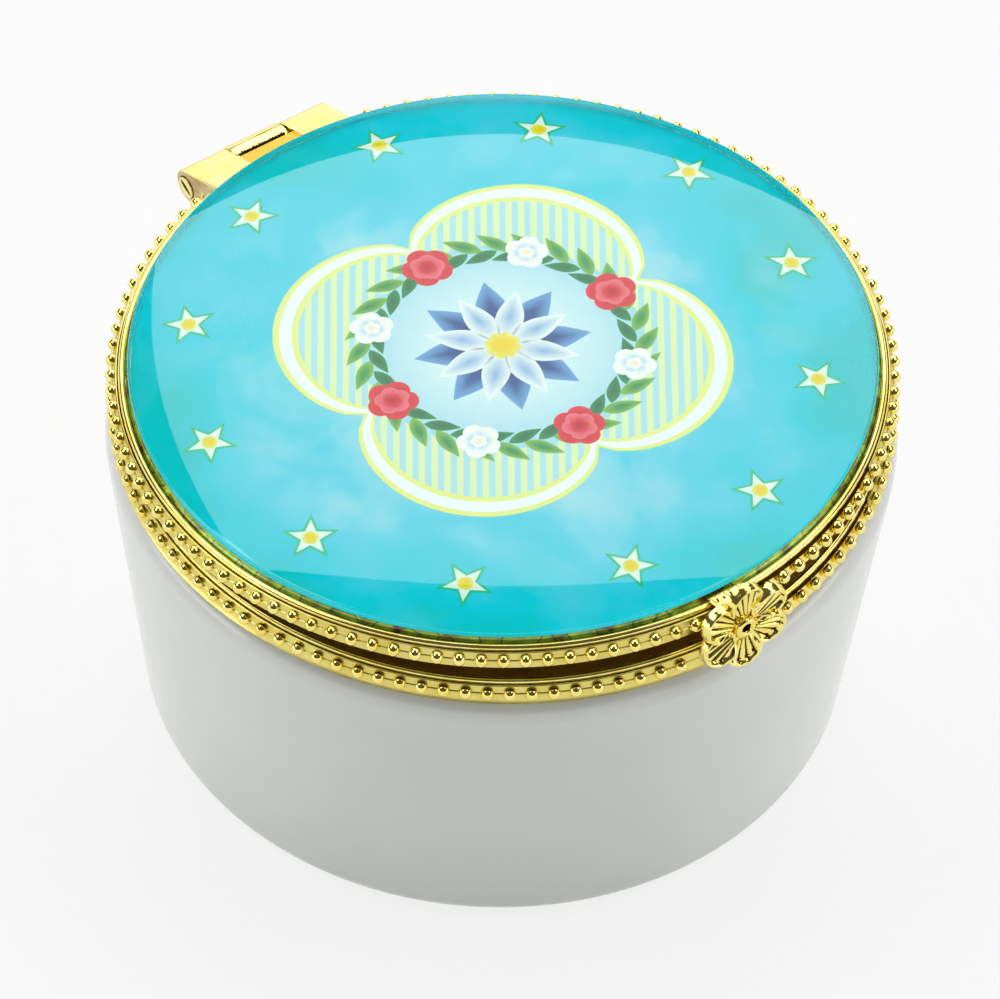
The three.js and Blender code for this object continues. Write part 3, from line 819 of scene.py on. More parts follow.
def make_strips(body, beads_z, below, flare, shift):
    """Two strips on a rim, right and left, that leave room for the clasp and the hinge."""
    section = strip_section(beads_z, below, flare)
    past_tongue = beads_to(TONGUE_WIDTH / 2 + CLEARANCE)
    half = HINGE_LENGTH / 2 + CLEARANCE
    ends = {
        "right": (past_tongue, BEAD_COUNT / 2 - beads_to(half + HINGE_ASIDE)),
        "left": (-BEAD_COUNT / 2 + beads_to(half - HINGE_ASIDE), -past_tongue),
    }
    for side, (start, end) in ends.items():
        strip = make_strip(section, beads_z, shift, start, end)
        name = f"{body}_beads_{side}"
        put_in_place(strip, name, None, body, [f"{body}_bead_strip_{side}"])


make_strips("base", BASE_BEADS_Z, BASE_SKIRT, flare=0.1, shift=0.42)
make_strips("lid", LID_BEADS_Z, LID_SKIRT + 0.1, flare=0.0, shift=0.12)

# %% [markdown]
# ## The hinge
# The lid's leaf is cast in one with its two outer knuckles, and its top slopes up to the rim.
# The base's leaf is sheet, curled into the middle knuckle. The pin is a strip rolled up until
# a narrow slot is left. All three are drawn from the side and pushed along the hinge, and the
# bore and the room for the middle knuckle are cut out as a drill and a mill would.

# %% Tools for the hinge
BARREL_RADIUS = 1.5
MIDDLE_RADIUS = 1.6
MIDDLE_LENGTH = 5.2
PIN_RADIUS = 0.95
PIN_PROUD = 0.15
BORE_RADIUS = 1.03
LEAF_SLOPE = 22  # degrees
GLASS_RADIUS = 30.0
OVERRUN = 3.0  # how far a cutter reaches past what it cuts


def leaf_top(inwards):
    """The sloping top of the lid's leaf, above the pin, at a distance inwards of it."""
    lean = math.radians(LEAF_SLOPE)
    return BARREL_RADIUS / math.cos(lean) + inwards * math.tan(lean)


def along_hinge(section, length):
    """A section of (inwards, up) from the pin's middle, pushed along the hinge."""
    placed = [(HINGE_Y - inwards, HINGE_Z + up) for inwards, up in section]
    return push_along_x(placed, length, HINGE_ASIDE)


def rod(radius, length):
    """A round bar on the hinge's own line."""
    deselect_all()
    bpy.ops.mesh.primitive_cylinder_add(
        vertices=72,
        radius=radius * MM,
        depth=length * MM,
        location=(HINGE_ASIDE * MM, HINGE_Y * MM, HINGE_Z * MM),
        rotation=(0, math.pi / 2, 0),
    )
    return bpy.context.active_object


def rim_body(beads_z, below):
    """What a rim's face fills, to trim whatever is soldered on to it."""
    bottom = on_face(beads_z, -below, 0)[1] - OVERRUN
    top = beads_z + ROLL_RISE - ROLL_RADIUS
    sunk = -STRIP_THICKNESS - 0.15  # solder fills the last of the gap
    deselect_all()
    bpy.ops.mesh.primitive_cone_add(
        vertices=LATHE_STEPS,
        radius1=face_radius_at(beads_z, bottom, sunk) * MM,
        radius2=face_radius_at(beads_z, top, sunk) * MM,
        depth=(top - bottom) * MM,
        location=(0, 0, (top + bottom) / 2 * MM),
    )
    return bpy.context.active_object


def glass_room():
    """The space of the glass, with a hair's breadth round it."""
    deselect_all()
    bpy.ops.mesh.primitive_cylinder_add(
        vertices=LATHE_STEPS,
        radius=(GLASS_RADIUS + 0.03) * MM,
        depth=2 * OVERRUN * MM,
        location=(0, 0, (LID_BEADS_Z + OVERRUN) * MM),
    )
    return bpy.context.active_object


# %% The lid's leaf with the outer knuckles
WEB_START = 1.0  # over the middle knuckle the leaf is a web, from here inwards
WEB_BOTTOM = 0.45
WEB_DROP = 0.25  # below the leaf's top


def make_lid_leaf():
    """The leaf runs up over the roll to the glass, and its end is filled down to the knuckle."""
    to_glass = HINGE_Y - ROLL_CENTRE + 1.5
    underside = LID_SKIRT_BOTTOM - HINGE_Z
    section = [
        (2.1, 0.0),
        (2.3, underside),
        (to_glass, underside),
        (to_glass, leaf_top(to_glass)),
        *arc((0, 0), BARREL_RADIUS, 90 + LEAF_SLOPE, 345, 44),
    ]
    room = MIDDLE_LENGTH + 2 * CLEARANCE
    far = to_glass + OVERRUN
    notch = [
        (-OVERRUN, -OVERRUN),
        (far, -OVERRUN),
        (far, WEB_BOTTOM),
        (WEB_START, WEB_BOTTOM),
        (WEB_START, leaf_top(WEB_START) - WEB_DROP),
        (far, leaf_top(far) - WEB_DROP),
        (far, leaf_top(far) + OVERRUN),
        (-OVERRUN, OVERRUN),
    ]
    leaf = along_hinge(section, HINGE_LENGTH)
    soften_edges(leaf, 0.26, 4)
    cut_away(
        leaf,
        along_hinge(notch, room),
        rod(MIDDLE_RADIUS + CLEARANCE, room + 0.01),  # its ends lie in no plane of the notch
        rim_body(LID_BEADS_Z, LID_SKIRT),
        glass_room(),
        rod(BORE_RADIUS, HINGE_LENGTH + OVERRUN),
    )

    def sawn_end(middle, normal):
        return abs(normal.x) > 0.95 and abs(middle.x - HINGE_ASIDE) > HINGE_LENGTH / 2 - 0.5

    def on_web(middle, normal):
        below_top = HINGE_Z + leaf_top(HINGE_Y - middle.y) - middle.z
        on_top = normal.z > 0.7 and abs(below_top - WEB_DROP) < 0.05
        return on_top and abs(middle.x - HINGE_ASIDE) < room / 2

    # the leaf takes the paler gold, as a painted highlight
    leaf.data.materials.append(leaf_highlight_gold)
    paint_faces(leaf, raw_gold, sawn_end)
    # the web is painted a deeper gold, as a painted reflection
    paint_faces(leaf, web_reflection_gold, on_web)
    return leaf


leaf = make_lid_leaf()
put_in_place(
    leaf, "hinge_outer_knuckles", None, "lid", ["hinge_lid_leaf"], flats=True
)

# %% The base's leaf with the middle knuckle
LEAF_FRONT = 5.05
LEAF_DEPTH = 0.9
SEAM_ANGLE = math.radians(68)
SEAM_HALF = 0.24


def seam_cutter():
    """A ragged sliver along the middle knuckle, where the curled sheet's raw edge lies."""
    out = Vector((math.cos(SEAM_ANGLE), math.sin(SEAM_ANGLE)))
    across = Vector((-out.y, out.x)) * SEAM_HALF
    foot = out * MIDDLE_RADIUS
    corners = [foot + across, foot * 1.1, foot - across, foot * 0.86]
    sliver = along_hinge([tuple(c) for c in corners], MIDDLE_LENGTH - 0.7)
    pick(sliver)
    bpy.ops.object.mode_set(mode="EDIT")
    bpy.ops.mesh.select_all(action="DESELECT")
    bpy.ops.object.mode_set(mode="OBJECT")
    for edge in sliver.data.edges:
        a, b = (sliver.data.vertices[i].co for i in edge.vertices)
        edge.select = abs(a.x - b.x) > 1 * MM
    bpy.ops.object.mode_set(mode="EDIT")
    bpy.ops.mesh.subdivide(number_cuts=40)
    bpy.ops.object.mode_set(mode="OBJECT")
    for vertex in sliver.data.vertices:
        x = vertex.co.x / MM
        wobble = math.sin(x * 23) + math.sin(x * 41 + vertex.co.z * 9e4)
        vertex.co.y += 0.06 * MM * wobble
    return sliver


def make_base_leaf():
    end = 360 - math.degrees(math.asin(LEAF_DEPTH / MIDDLE_RADIUS))
    section = [(LEAF_FRONT, 0), *arc((0, 0), MIDDLE_RADIUS, 0, end, 56), (LEAF_FRONT, -LEAF_DEPTH)]
    leaf = along_hinge(section, MIDDLE_LENGTH)
    soften_edges(leaf, 0.14, 3)
    bore = rod(BORE_RADIUS, MIDDLE_LENGTH + OVERRUN)
    cut_away(leaf, bore, rim_body(BASE_BEADS_Z, BASE_SKIRT))
    cut_away(leaf, seam_cutter())

    def in_seam(middle, normal):
        up, inwards = middle.z - HINGE_Z, HINGE_Y - middle.y
        depth = MIDDLE_RADIUS - math.hypot(up, inwards)
        return 0.02 < depth < 0.3 and up > 0.9 and inwards > 0.4 and abs(normal.x) < 0.9

    leaf.data.materials.append(sheet_gold)
    # the seam's faces are painted dark, as painted shade in the gap
    paint_faces(leaf, painted_shade_gold, in_seam)
    return leaf


leaf = make_base_leaf()
put_in_place(
    leaf, "hinge_middle_knuckle", None, "base", ["hinge_base_leaf"], flats=True
)

# %% The pin
SLOT_REACH = 0.8  # from the pin's middle
SLOT_HALF_WIDTH = 0.23
SLOT_TURN = math.radians(154)


def make_pin():
    """A bar with an oval slot cut along it, which leans as the rolled strip's seam does."""
    pin = rod(PIN_RADIUS, HINGE_LENGTH + 2 * PIN_PROUD)
    slot = []
    cos, sin = math.cos(SLOT_TURN), math.sin(SLOT_TURN)
    for x, y in arc((0, 0), 1.0, 0, 345, 23):
        along, across = x * SLOT_REACH, y * SLOT_HALF_WIDTH
        slot.append((along * cos - across * sin, along * sin + across * cos))
    cut_away(pin, along_hinge(slot, HINGE_LENGTH + OVERRUN))
    soften_edges(pin, 0.05, 2)

    def in_slot(middle, normal):
        out = math.hypot(middle.y - HINGE_Y, middle.z - HINGE_Z)
        return out < SLOT_REACH + 0.02 and abs(normal.x) < 0.3

    pin.data.materials.append(sheet_gold)
    # the slot is painted dark, as painted shade
    paint_faces(pin, painted_shade_gold, in_slot)
    paint_faces(pin, raw_gold, lambda middle, normal: abs(normal.x) > 0.8)
    return pin


put_in_place(make_pin(), "hinge_pin_rolled", None, "lid", ["hinge_pin"], flats=True)

# %% [markdown]
# ## The clasp
# A strap is hooked over the lid's roll and hangs down in front, and the flower is soldered on
# to it. On the base's rim behind it is a small disc with a ball, which the strap snaps over.

# %% Strap
TONGUE_INSIDE = 32.05
TONGUE_OUTSIDE = 32.5
TONGUE_BOTTOM = 29.0996
TONGUE_ROOT = 31.5913  # the height at which it leaves the lid's skirt
HOOK_BOTTOM = 33.2213
HOOK_BACK = 30.22
HOOK_ROUND = 1.1
LUMP = 0.07


def make_strap():
    """The hook over the roll is lumpy with solder, so its skin is pushed in and out a little."""
    seat = lambda z, out: face_radius_at(LID_BEADS_Z, z, out)
    hook_top = HOOK_BOTTOM + TONGUE_OUTSIDE - TONGUE_INSIDE
    section = [
        (HOOK_BACK, HOOK_BOTTOM),
        (seat(HOOK_BOTTOM, 0.08), HOOK_BOTTOM),
        (seat(LID_BEADS_Z, -0.07), LID_BEADS_Z),
        (seat(TONGUE_ROOT, -0.07), TONGUE_ROOT),
        (TONGUE_INSIDE, TONGUE_ROOT),
        (TONGUE_INSIDE, TONGUE_BOTTOM),
        (TONGUE_OUTSIDE, TONGUE_BOTTOM),
        *arc((TONGUE_OUTSIDE - HOOK_ROUND, hook_top - HOOK_ROUND), HOOK_ROUND, 0, 80, 8),
        (30.6, hook_top - 0.06),
        (HOOK_BACK, hook_top - 0.25),
    ]
    strap = push_along_x([(-r, z) for r, z in section], TONGUE_WIDTH - 0.3, 0)
    soften_edges(strap, 0.16, 3, 30)
    pick(strap)
    cells = strap.modifiers.new("cells", "REMESH")
    cells.mode = "VOXEL"
    cells.voxel_size = 0.07 * MM
    bpy.ops.object.modifier_apply(modifier=cells.name)
    for vertex in strap.data.vertices:
        x, y, z = vertex.co / MM
        if z > LID_BEADS_Z and y < -30.5:
            lump = math.sin(x * 5.1 + 1.3) * math.sin(y * 4.3 + z * 2.2)
            lump += 0.6 * math.sin(x * 9.7 - z * 7.9)
            vertex.co += Vector(vertex.normal) * LUMP * MM * lump
    return strap


put_in_place(make_strap(), "clasp_strap", cast_gold, "lid", ["clasp_tongue"])

# %% Catch
BALL_RADIUS = 0.7
DISC_RADIUS = 0.95
DISC_TOP = 0.3
DISC_ROUND = 0.08
SOLDER = 0.15  # the disc stands in this much of it, and the ball's middle is as far above


def make_catch():
    section = [(0, -SOLDER), (DISC_RADIUS, -SOLDER)]
    section += arc((DISC_RADIUS - DISC_ROUND, DISC_TOP - DISC_ROUND), DISC_ROUND, 0, 90, 3)
    foot = math.degrees(math.asin((DISC_TOP - SOLDER) / BALL_RADIUS))
    section += arc((0, SOLDER), BALL_RADIUS, foot, 90, 8)
    catch = turn_on_lathe(section)
    distance, z = on_face(BASE_BEADS_Z, 0, -SOLDER)
    seat = Matrix.Translation((0, -distance * MM, z * MM))
    catch.matrix_world = seat @ Matrix.Rotation(math.pi / 2 - SLOPE, 4, "X")
    return catch


put_in_place(make_catch(), "clasp_ball_catch", cast_gold, "base", ["clasp_catch"])

# %% [markdown]
# ## The flower
# Six cupped petals round a boss with a dimple, pressed or cast. One petal is made: a round
# blank is raised at its rim and creased by grooves that fan out from the middle of the flower.
# Five copies are turned round the boss, each a little tilted so that it laps over the next.

# %% A petal
PETALS = 6
PETAL_RADIUS = 1.7
PETAL_CENTRE = 2.6
PETAL_BACK = 0.05
PETAL_TILT = 6  # degrees
RIB_DEGREES = 12
# rings of a petal, as shares of its radius, closest where its rim curls over
PETAL_RINGS = [0.04 * i for i in range(1, 22)] + [0.87, 0.9, 0.925, 0.945, 0.965, 0.98, 0.992, 1]


def ease(x):
    """Goes gently from 0 to 1, and stays there."""
    x = min(1.0, max(0.0, x))
    return x * x * (3 - 2 * x)


def petal_height(x, y):
    """Height of a petal's face. x runs out from the flower's middle, in millimetres."""
    out = math.hypot(x - PETAL_CENTRE, y) / PETAL_RADIUS
    from_middle = math.hypot(x, y)
    ring = max(0.0, 1 - ((out - 0.88) / 0.17) ** 2)
    rim = 0.5 * ring * ease((from_middle - 1.6) / 1.2)
    fan = math.degrees(math.atan2(y, x))
    ridge = abs(math.cos(math.pi * fan / RIB_DEGREES))
    ribs = 0.24 * ridge * ease((0.86 - out) / 0.16) * ease((from_middle - 0.5) / 0.6)
    fall = 0.3 * ease((out - 0.93) / 0.07)
    return 0.42 + rim + ribs - fall


def make_petal():
    """A round blank turned on the lathe, then pressed to its height at every point."""
    blank_top = 1.0
    section = [(0, blank_top)] + [(share * PETAL_RADIUS, blank_top) for share in PETAL_RINGS]
    section += [(PETAL_RADIUS, PETAL_BACK), (0, PETAL_BACK)]
    petal = turn_on_lathe(section, steps_round=144)
    for vertex in petal.data.vertices:
        vertex.co.x += PETAL_CENTRE * MM
        if vertex.co.z > blank_top / 2 * MM:
            vertex.co.z = petal_height(vertex.co.x / MM, vertex.co.y / MM) * MM

    def in_groove(middle, normal):
        fan = math.degrees(math.atan2(middle.y, middle.x)) / RIB_DEGREES
        out = math.hypot(middle.x - PETAL_CENTRE, middle.y) / PETAL_RADIUS
        return middle.z > 0.3 and out < 0.78 and abs(fan - math.floor(fan) - 0.5) < 0.11

    petal.data.materials.append(cast_gold)
    # the grooves between the ribs are painted dark, as painted shade
    paint_faces(petal, painted_shade_gold, in_groove)
    pick(petal)
    petal.matrix_world = Matrix.Rotation(math.radians(PETAL_TILT), 4, "X")
    bpy.ops.object.transform_apply(rotation=True)
    return petal


# %% Flower
FLOWER_Z = 31.8913
FLOWER_BACK = 32.58
DIMPLE_RADIUS = 0.4


def make_flower():
    """A back plate ties the petals together, and a ring with a dimple covers their roots."""
    parts = [make_petal()]
    for k in range(1, PETALS):
        parts.append(copy_of(parts[0], Matrix.Rotation(k * 2 * math.pi / PETALS, 4, "Z")))
    parts.append(turn_on_lathe([(0, 0.02), (2.9, 0.02), (3.0, 0.1), (2.9, 0.2), (0, 0.25)]))
    boss = [(0, 0.1), (1.0, 0.1), *arc((0.66, 0.66), 0.3, -20, 150, 12)]
    boss += [(0.33, 0.5), (0.25, 0.2), (0, 0.15)]
    parts.append(turn_on_lathe(boss, steps_round=48))
    for turned in parts[-2:]:
        turned.data.materials.append(cast_gold)
    flower = join_pieces(parts)
    # the dimple is painted dark as painted shade, with the petals' second finish
    for face in flower.data.polygons:
        if (face.center / MM).xy.length < DIMPLE_RADIUS and face.center.z < 0.8 * MM:
            face.material_index = 1
    upright = Matrix.Rotation(math.pi / 2, 4, "X") @ Matrix.Rotation(math.pi / 2, 4, "Z")
    flower.matrix_world = Matrix.Translation((0, -FLOWER_BACK * MM, FLOWER_Z * MM)) @ upright
    return flower


put_in_place(make_flower(), "clasp_flower_cast", None, "lid", ["clasp_flower"])

# %% [markdown]
# ## The picture
# A disc of card, printed with a cloudy sky. On it lie flat printed shapes, each a slab a few
# hundredths of a millimetre high so that the glass lies over them: a ring of plain stars, a
# four-lobed panel with a yellow outline, a wreath of leaves and roses, and a blue and white
# flower in the middle. Each kind is drawn once, filled, poked to get a point at its heart, and
# copied.

# %% Printing shapes
PICTURE_TOP = 32.6596
PICTURE_RADIUS = 29.55
PICTURE_CENTRE = (0.4, 0.6)
LAYER = 0.012  # one print over another


def make_stamp(outline, layer, ink):
    """A flat printed shape. The mesh carries 0 at its heart and 1 at its outline."""
    top = PICTURE_TOP + LAYER * layer
    stamp = draw_line([(x, y, top) for x, y in outline], closed=True)
    bpy.ops.mesh.poke()
    bpy.ops.object.mode_set(mode="OBJECT")
    mesh = stamp.data
    outward = mesh.attributes.new("outward", "FLOAT", "POINT")
    for vertex, value in zip(mesh.vertices, outward.data):
        value.value = 1.0 if vertex.index < len(outline) else 0.0
    mesh.materials.append(ink)
    bpy.ops.object.mode_set(mode="EDIT")
    bpy.ops.mesh.select_all(action="SELECT")
    depth = LAYER * (layer + 0.5) * MM
    bpy.ops.mesh.extrude_region_move(TRANSFORM_OT_translate={"value": (0, 0, -depth)})
    tidy_mesh()
    return stamp


def print_shapes(name, *layers):
    """Prints layers of (outline, height in layers, ink, places) and joins them to one piece."""
    shapes = []
    for outline, layer, ink, places in layers:
        stamp = make_stamp(outline, layer, inks[ink])
        for x, y, turn, size in places:
            at = ((x + PICTURE_CENTRE[0]) * MM, (y + PICTURE_CENTRE[1]) * MM, 0)
            turned = Matrix.Rotation(math.radians(turn), 4, "Z")
            sized = Matrix.Diagonal((size, size, 1, 1))
            shapes.append(copy_of(stamp, Matrix.Translation(at) @ turned @ sized))
        bpy.data.objects.remove(stamp)
    put_in_place(join_pieces(shapes), name, None, "lid")


def round_places(count, radius, phase=0.0, turn=0.0, size=1.0):
    """Places (x, y, turn in degrees, size) round a ring, each turned to look outwards."""
    places = []
    for k in range(count):
        angle = phase + k * 360 / count
        x = radius * math.cos(math.radians(angle))
        y = radius * math.sin(math.radians(angle))
        places.append((x, y, angle + turn, size))
    return places


def petals_outline(petals, radius, depth, steps):
    """A rosette: a circle whose radius swells and shrinks with each petal."""
    outline = []
    for i in range(petals * steps):
        angle = 2 * math.pi * i / (petals * steps)
        wave = abs(math.cos(petals * angle / 2)) ** 0.7
        reach = radius * (1 - depth * (1 - wave))
        outline.append((reach * math.cos(angle), reach * math.sin(angle)))
    return outline


def star_outline(radius):
    outline = []
    for i in range(10):
        reach = radius if i % 2 == 0 else radius * 0.42
        angle = math.radians(36 * i)
        outline.append((reach * math.cos(angle), reach * math.sin(angle)))
    return outline


def leaf_outline(length, width):
    upper = [(length * i / 10, width / 2 * math.sin(math.pi * (i / 10) ** 0.8)) for i in range(11)]
    return upper + [(x, -y) for x, y in reversed(upper[1:-1])]


# %% Card
CARD_THICKNESS = 0.15


def make_picture_card():
    """Die-cut card: its cut edge is pressed a little round."""
    back = PICTURE_TOP - CARD_THICKNESS
    section = [(0, back), (PICTURE_RADIUS - 0.05, back), (PICTURE_RADIUS, back + 0.05)]
    section += [(PICTURE_RADIUS, PICTURE_TOP - 0.03), (PICTURE_RADIUS - 0.04, PICTURE_TOP)]
    section += [(0, PICTURE_TOP)]
    return turn_on_lathe(section)


put_in_place(make_picture_card(), "picture_card", sky_print, "lid", ["picture_disc"])

# %% Inks
inks = {
    "star": make_ink("star ink", "F1F4E2", "E6EEE8"),
    "star_heart": make_ink("star heart ink", "F2CF12", "F0E468", 0.45),
    "star_edge": make_ink("star edge ink", "2FBF86", "2FBF86"),
    "yellow": make_ink("pale yellow ink", "F0F29A", "EDEB86"),
    "band": make_ink("white band ink", "F4F8F4", "F4F8F4"),
    "hatched": make_hatched_ink(),
    "centre": make_ink("panel centre ink", "E2F0F0", "A4D4E2", 0.3),
    "leaf": make_ink("leaf ink", "2F8F4E", "86B94A"),
    "dark_leaf": make_ink("dark leaf ink", "1E6B45", "2F8F4E"),
    "rose": make_ink("rose ink", "B80F22", "E9323A", 0.1),
    "rose_light": make_ink("light rose ink", "D81E2E", "F2707A", 0.1),
    "white_rose": make_ink("white rose ink", "F6E6C9", "FBFBF6"),
    "blue": make_ink("blue petal ink", "27508F", "6FA3D6"),
    "white": make_ink("white petal ink", "8FB3D9", "F1F4F0", 0.05),
}

# %% Stars
ring = round_places(12, 25.1, 78.6)
print_shapes(
    "picture_stars",
    (star_outline(2.4), 1, "star_edge", ring),
    (star_outline(1.8), 2, "star", ring),
    (petals_outline(5, 0.66, 0.06, 4), 3, "star_heart", ring),
)

# %% Panel
in_middle = [(0, 0, 0, 1)]
turned_half = [(0, 0, 45, 1)]
lobes = [(1, 18.4, "yellow"), (1.5, 17.9, "band"), (2, 16.9, "yellow"), (2.5, 16.4, "hatched")]
panel = [(petals_outline(4, size, 0.28, 24), at, ink, turned_half) for at, size, ink in lobes]
panel.append((petals_outline(24, 11.4, 0.06, 6), 2.8, "centre", in_middle))
print_shapes("picture_panel", *panel)

# %% Wreath
WREATH = 10.6
print_shapes(
    "picture_leaves",
    (leaf_outline(3.4, 1.25), 3, "leaf", round_places(28, WREATH, 0, 62)),
    (leaf_outline(3.0, 1.1), 3, "dark_leaf", round_places(28, WREATH, 6.4, 118)),
)
roses = []
for layer, size, turn, red, white in (
    (4, 2.1, 0, "rose", "white_rose"),
    (5, 1.45, 36, "rose_light", "white"),
    (6, 0.8, 0, "rose", "white_rose"),
):
    outline = petals_outline(5, size, 0.2, 8)
    roses.append((outline, layer, red, round_places(4, WREATH, 0, turn)))
    roses.append((outline, layer, white, round_places(4, WREATH, 45, turn, 0.85)))
print_shapes("picture_roses", *roses)

# %% Flower in the middle
print_shapes(
    "picture_bloom",
    (leaf_outline(6.6, 3.0), 3, "blue", round_places(8, 0.6, 22.5)),
    (leaf_outline(5.6, 2.3), 4, "white", round_places(8, 0.6)),
    (petals_outline(8, 1.5, 0.2, 6), 5, "star_heart", in_middle),
)

# %% [markdown]
# ## The glass and its glue
# The dome is moulded glass with a fire-polished edge. Its underside lies in the printed card, a
# few thousandths of a millimetre deep, because the real picture is stuck to the glass with no
# air between. Light then bends once, at the dome, and the picture seems to float up to the edge.

# %% Glass
GLASS_EDGE_TOP = 33.8896
DOME_RISE = 2.6
DOME_ROUNDNESS = 3.2
DOME_STEPS = 48
EDGE_ROUND = 0.2
GLASS_SINK = 0.004  # how deep its underside lies in the card


def make_glass_dome():
    """Flat underneath, with a side that leans out and a dome that is flattest at its top."""
    bottom = PICTURE_TOP - GLASS_SINK
    dome_radius = GLASS_RADIUS - EDGE_ROUND
    section = [(0, bottom), (PICTURE_RADIUS, bottom), (GLASS_RADIUS, GLASS_EDGE_TOP)]
    section += arc((dome_radius, GLASS_EDGE_TOP), EDGE_ROUND, 0, 90, 6)[1:]
    for i in range(1, DOME_STEPS + 1):
        share = math.cos(math.pi / 2 * i / DOME_STEPS) if i < DOME_STEPS else 0.0
        rise = DOME_RISE * (1 - share**DOME_ROUNDNESS)
        section.append((dome_radius * share, GLASS_EDGE_TOP + EDGE_ROUND + rise))
    return turn_on_lathe(section)


put_in_place(
    make_glass_dome(), "glass_dome", glass, "lid", ["lid_glass"], smooth_angle=60
)

# %% Glue
GLUE_FOOT = 32.1296
WALL_FOOT = 32.66  # the foot of the glass's side
WALL_HEIGHT = 1.23


def wall(z):
    """How far out the glass's side is at this height, with 0.03 mm to spare."""
    lean = (GLASS_RADIUS - PICTURE_RADIUS) / WALL_HEIGHT
    return PICTURE_RADIUS + 0.03 + lean * max(0, z - WALL_FOOT)


def make_glue_ring():
    """It fills the room between glass and rim, and creeps up the side of the glass."""
    outer = ROLL_CENTRE - ROLL_RADIUS - 0.02
    section = [(wall(0) + 0.05, GLUE_FOOT), (outer, GLUE_FOOT), (outer, 33.05), (outer - 0.1, 33.0)]
    section += [(wall(33.2) + 0.16, 33.12), (wall(33.3) + 0.05, 33.3), (wall(33.38), 33.38)]
    section += [(wall(33.1), 33.1), (wall(0) + 0.03, 32.7)]
    return turn_on_lathe(section, closed=True)


put_in_place(make_glue_ring(), "glue_ring", glue, "lid", ["glass_glue"])

# %% [markdown]
# ## CAD solids that stay
# The cement is hidden and the backing plate is flat, so their CAD solids are good as they are
# and only get a finish.

# %% Finishes for the CAD solids that stay
for node, material in (("rim_cement", cement), ("lid_plate", sheet_gold)):
    mesh = frame["nodes"][node].data
    mesh.materials.clear()
    mesh.materials.append(material)
    print(node, "is finished in", material.name)

# %% [markdown]
# ## Table
# A wide sheet of white paper, which keeps the box's soft shadow.

# %% Table
SEEN_WHITE = 0.8  # how much of the table is plain white to the camera and to polished metal


def make_table_finish():
    """The camera and polished metal see the paper a little whiter than it is lit."""
    material, tree, shader, place = start_material("white paper backdrop")
    grain = add_node(tree, "ShaderNodeTexNoise", {"Vector": place, "Scale": 1 / (2 * MM)})
    paper = add_node(
        tree, "ShaderNodeValToRGB", {"Fac": grain.outputs["Fac"]},
        [(0.3, "F1F1F0"), (0.7, "F5F5F4")],
    )
    feed(shader, {"Base Color": paper.outputs["Color"], "Roughness": 0.8})
    light = add_node(tree, "ShaderNodeLightPath")
    white = add_node(tree, "ShaderNodeEmission", {"Color": (1, 1, 1, 1), "Strength": 1.0})
    either = add_node(
        tree, "ShaderNodeMath",
        {0: light.outputs["Is Camera Ray"], 1: light.outputs["Is Glossy Ray"]},
        operation="MAXIMUM",
    )
    seen = add_node(
        tree, "ShaderNodeMath", {0: either.outputs["Value"], 1: SEEN_WHITE},
        operation="MULTIPLY",
    )
    both = add_node(
        tree, "ShaderNodeMixShader",
        {0: seen.outputs["Value"], 1: shader.outputs["BSDF"], 2: white.outputs["Emission"]},
    )
    feed(tree.nodes["Material Output"], {"Surface": both.outputs["Shader"]})
    return material


deselect_all()
bpy.ops.mesh.primitive_plane_add(size=6, location=(0, 0, 0))
table = bpy.context.active_object
table.name = "table"
table.data.materials.append(make_table_finish())

# %% [markdown]
# ## Lamps
# One large softbox hangs behind the box. The glass mirrors it as a pale veil that leaves clear
# bands along most of the edge. Two round umbrellas stand high at the sides and two softboxes low
# beside them, so that each bead shows bright spots with the dark room between.

# %% Lamps
CAMERA_AZIMUTH = -36.31
CAMERA_ELEVATION = 48.34
LAMP_DISTANCE = 1.0


def direction_from(azimuth, elevation):
    """Towards a place round the box: azimuth 0 is in front of the clasp, 90 to its right."""
    a, e = math.radians(azimuth), math.radians(elevation)
    return Vector((math.sin(a) * math.cos(e), -math.cos(a) * math.cos(e), math.sin(e)))


def add_softbox(name, from_camera, elevation, wide, tall, brightness, shape="RECTANGLE"):
    """A softbox as wide and tall, in degrees, as the box sees it. Brightness 1 is white."""
    back = direction_from(CAMERA_AZIMUTH + from_camera, elevation)
    bpy.ops.object.light_add(type="AREA", location=back * LAMP_DISTANCE)
    lamp = bpy.context.active_object
    lamp.name = name
    lamp.rotation_euler = back.to_track_quat("Z", "Y").to_euler()
    lamp.data.shape = shape
    lamp.data.size = 2 * LAMP_DISTANCE * math.tan(math.radians(wide / 2))
    lamp.data.size_y = 2 * LAMP_DISTANCE * math.tan(math.radians(tall / 2))
    area = lamp.data.size * lamp.data.size_y * (math.pi / 4 if shape == "ELLIPSE" else 1)
    lamp.data.energy = brightness * math.pi * area
    print(name, round(lamp.data.energy, 2), "W")


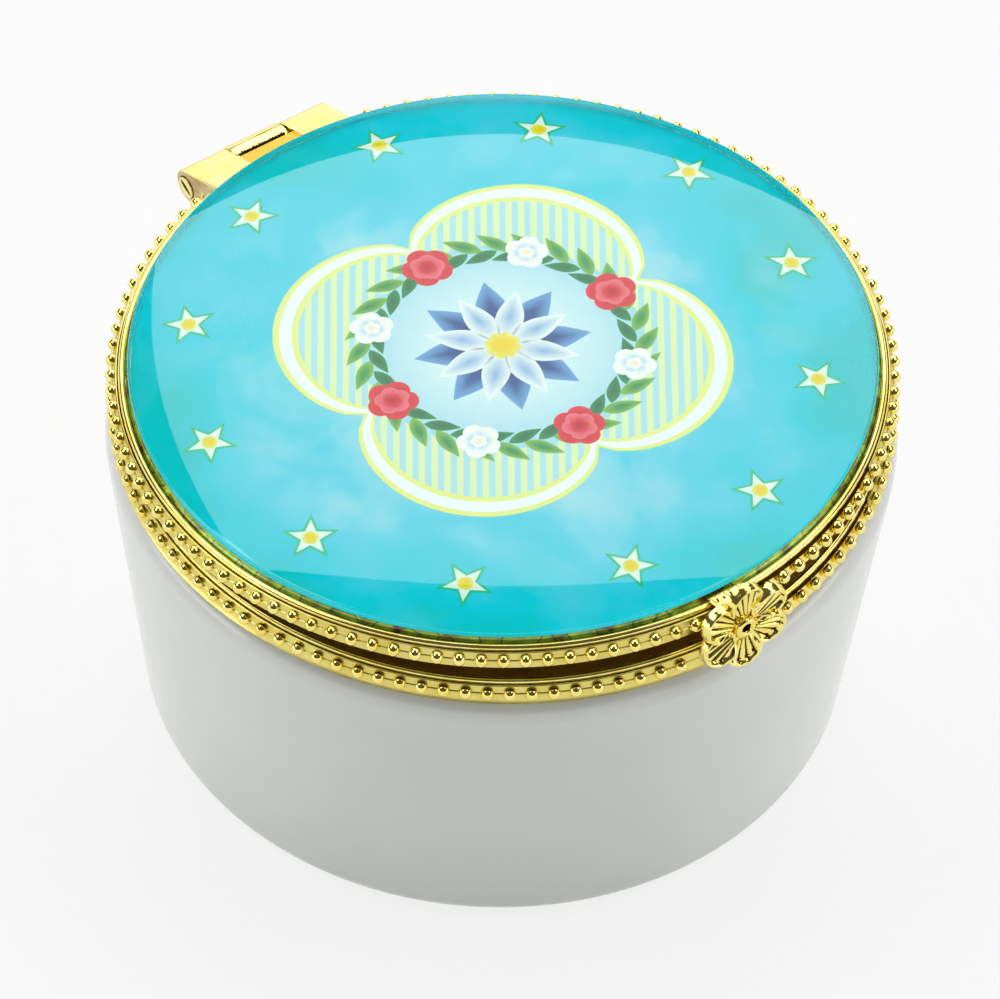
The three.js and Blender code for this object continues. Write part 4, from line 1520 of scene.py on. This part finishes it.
add_softbox("softbox_behind", 180, 47.6, 47.5, 46, 2.2)
add_softbox("umbrella_left", -100, 57, 38, 27, 2.7, "ELLIPSE")
add_softbox("umbrella_right", 100, 57, 38, 27, 2.7, "ELLIPSE")
add_softbox("low_softbox_left", -80, 14, 34, 18, 1.9)
add_softbox("low_softbox_right", 80, 14, 34, 18, 1.7)

# %% [markdown]
# ## The room
# White paper walls stand all round up to about 13 degrees above the table, and the room over them
# is dark. Polished metal needs both: it is bright where it mirrors paper, and dark elsewhere.

# %% Room
world = bpy.data.worlds.new("studio")
bpy.context.scene.world = world
world.use_nodes = True
room = world.node_tree
direction = add_node(room, "ShaderNodeTexCoord").outputs["Generated"]
height = add_node(room, "ShaderNodeSeparateXYZ", {"Vector": direction})
paper_wall = {"From Min": 0.2, "From Max": 0.26, "To Min": 1.34, "To Max": 0.1}
walls = add_node(room, "ShaderNodeMapRange", {"Value": height.outputs["Z"], **paper_wall})
paths = add_node(room, "ShaderNodeLightPath")
seen = add_node(
    room, "ShaderNodeMath", {0: walls.outputs["Result"], 1: paths.outputs["Is Camera Ray"]},
    operation="MAXIMUM",
)
feed(room.nodes["Background"], {"Color": linear("FBF8F4"), "Strength": seen.outputs["Value"]})
bpy.context.scene.view_settings.view_transform = "Standard"

# %% [markdown]
# ## Camera
# Its place comes from the rims' ellipses in the photograph. It is far off with a long lens, so
# the box shows hardly any perspective.

# %% Camera
CAMERA_PLACE = Vector((-321.25, -437.33, 628.09)) * MM
CAMERA_ROLL = math.radians(2.13)
CAMERA_LENS = 362.55
SENSOR_WIDTH = 36

bpy.ops.object.camera_add(location=CAMERA_PLACE)
camera = bpy.context.active_object
camera.name = "camera"
camera.data.sensor_width = SENSOR_WIDTH
camera.data.lens = CAMERA_LENS
aim = direction_from(CAMERA_AZIMUTH, CAMERA_ELEVATION).to_track_quat("Z", "Y")
camera.rotation_euler = (aim.to_matrix() @ Matrix.Rotation(CAMERA_ROLL, 3, "Z")).to_euler()
bpy.context.scene.camera = camera
print("camera", [round(v, 3) for v in camera.location])

# %% [markdown]
# ## Updating the scene
# The dressed box must stay in the CAD model's box.

# %% Updating the scene
bpy.context.view_layer.update()
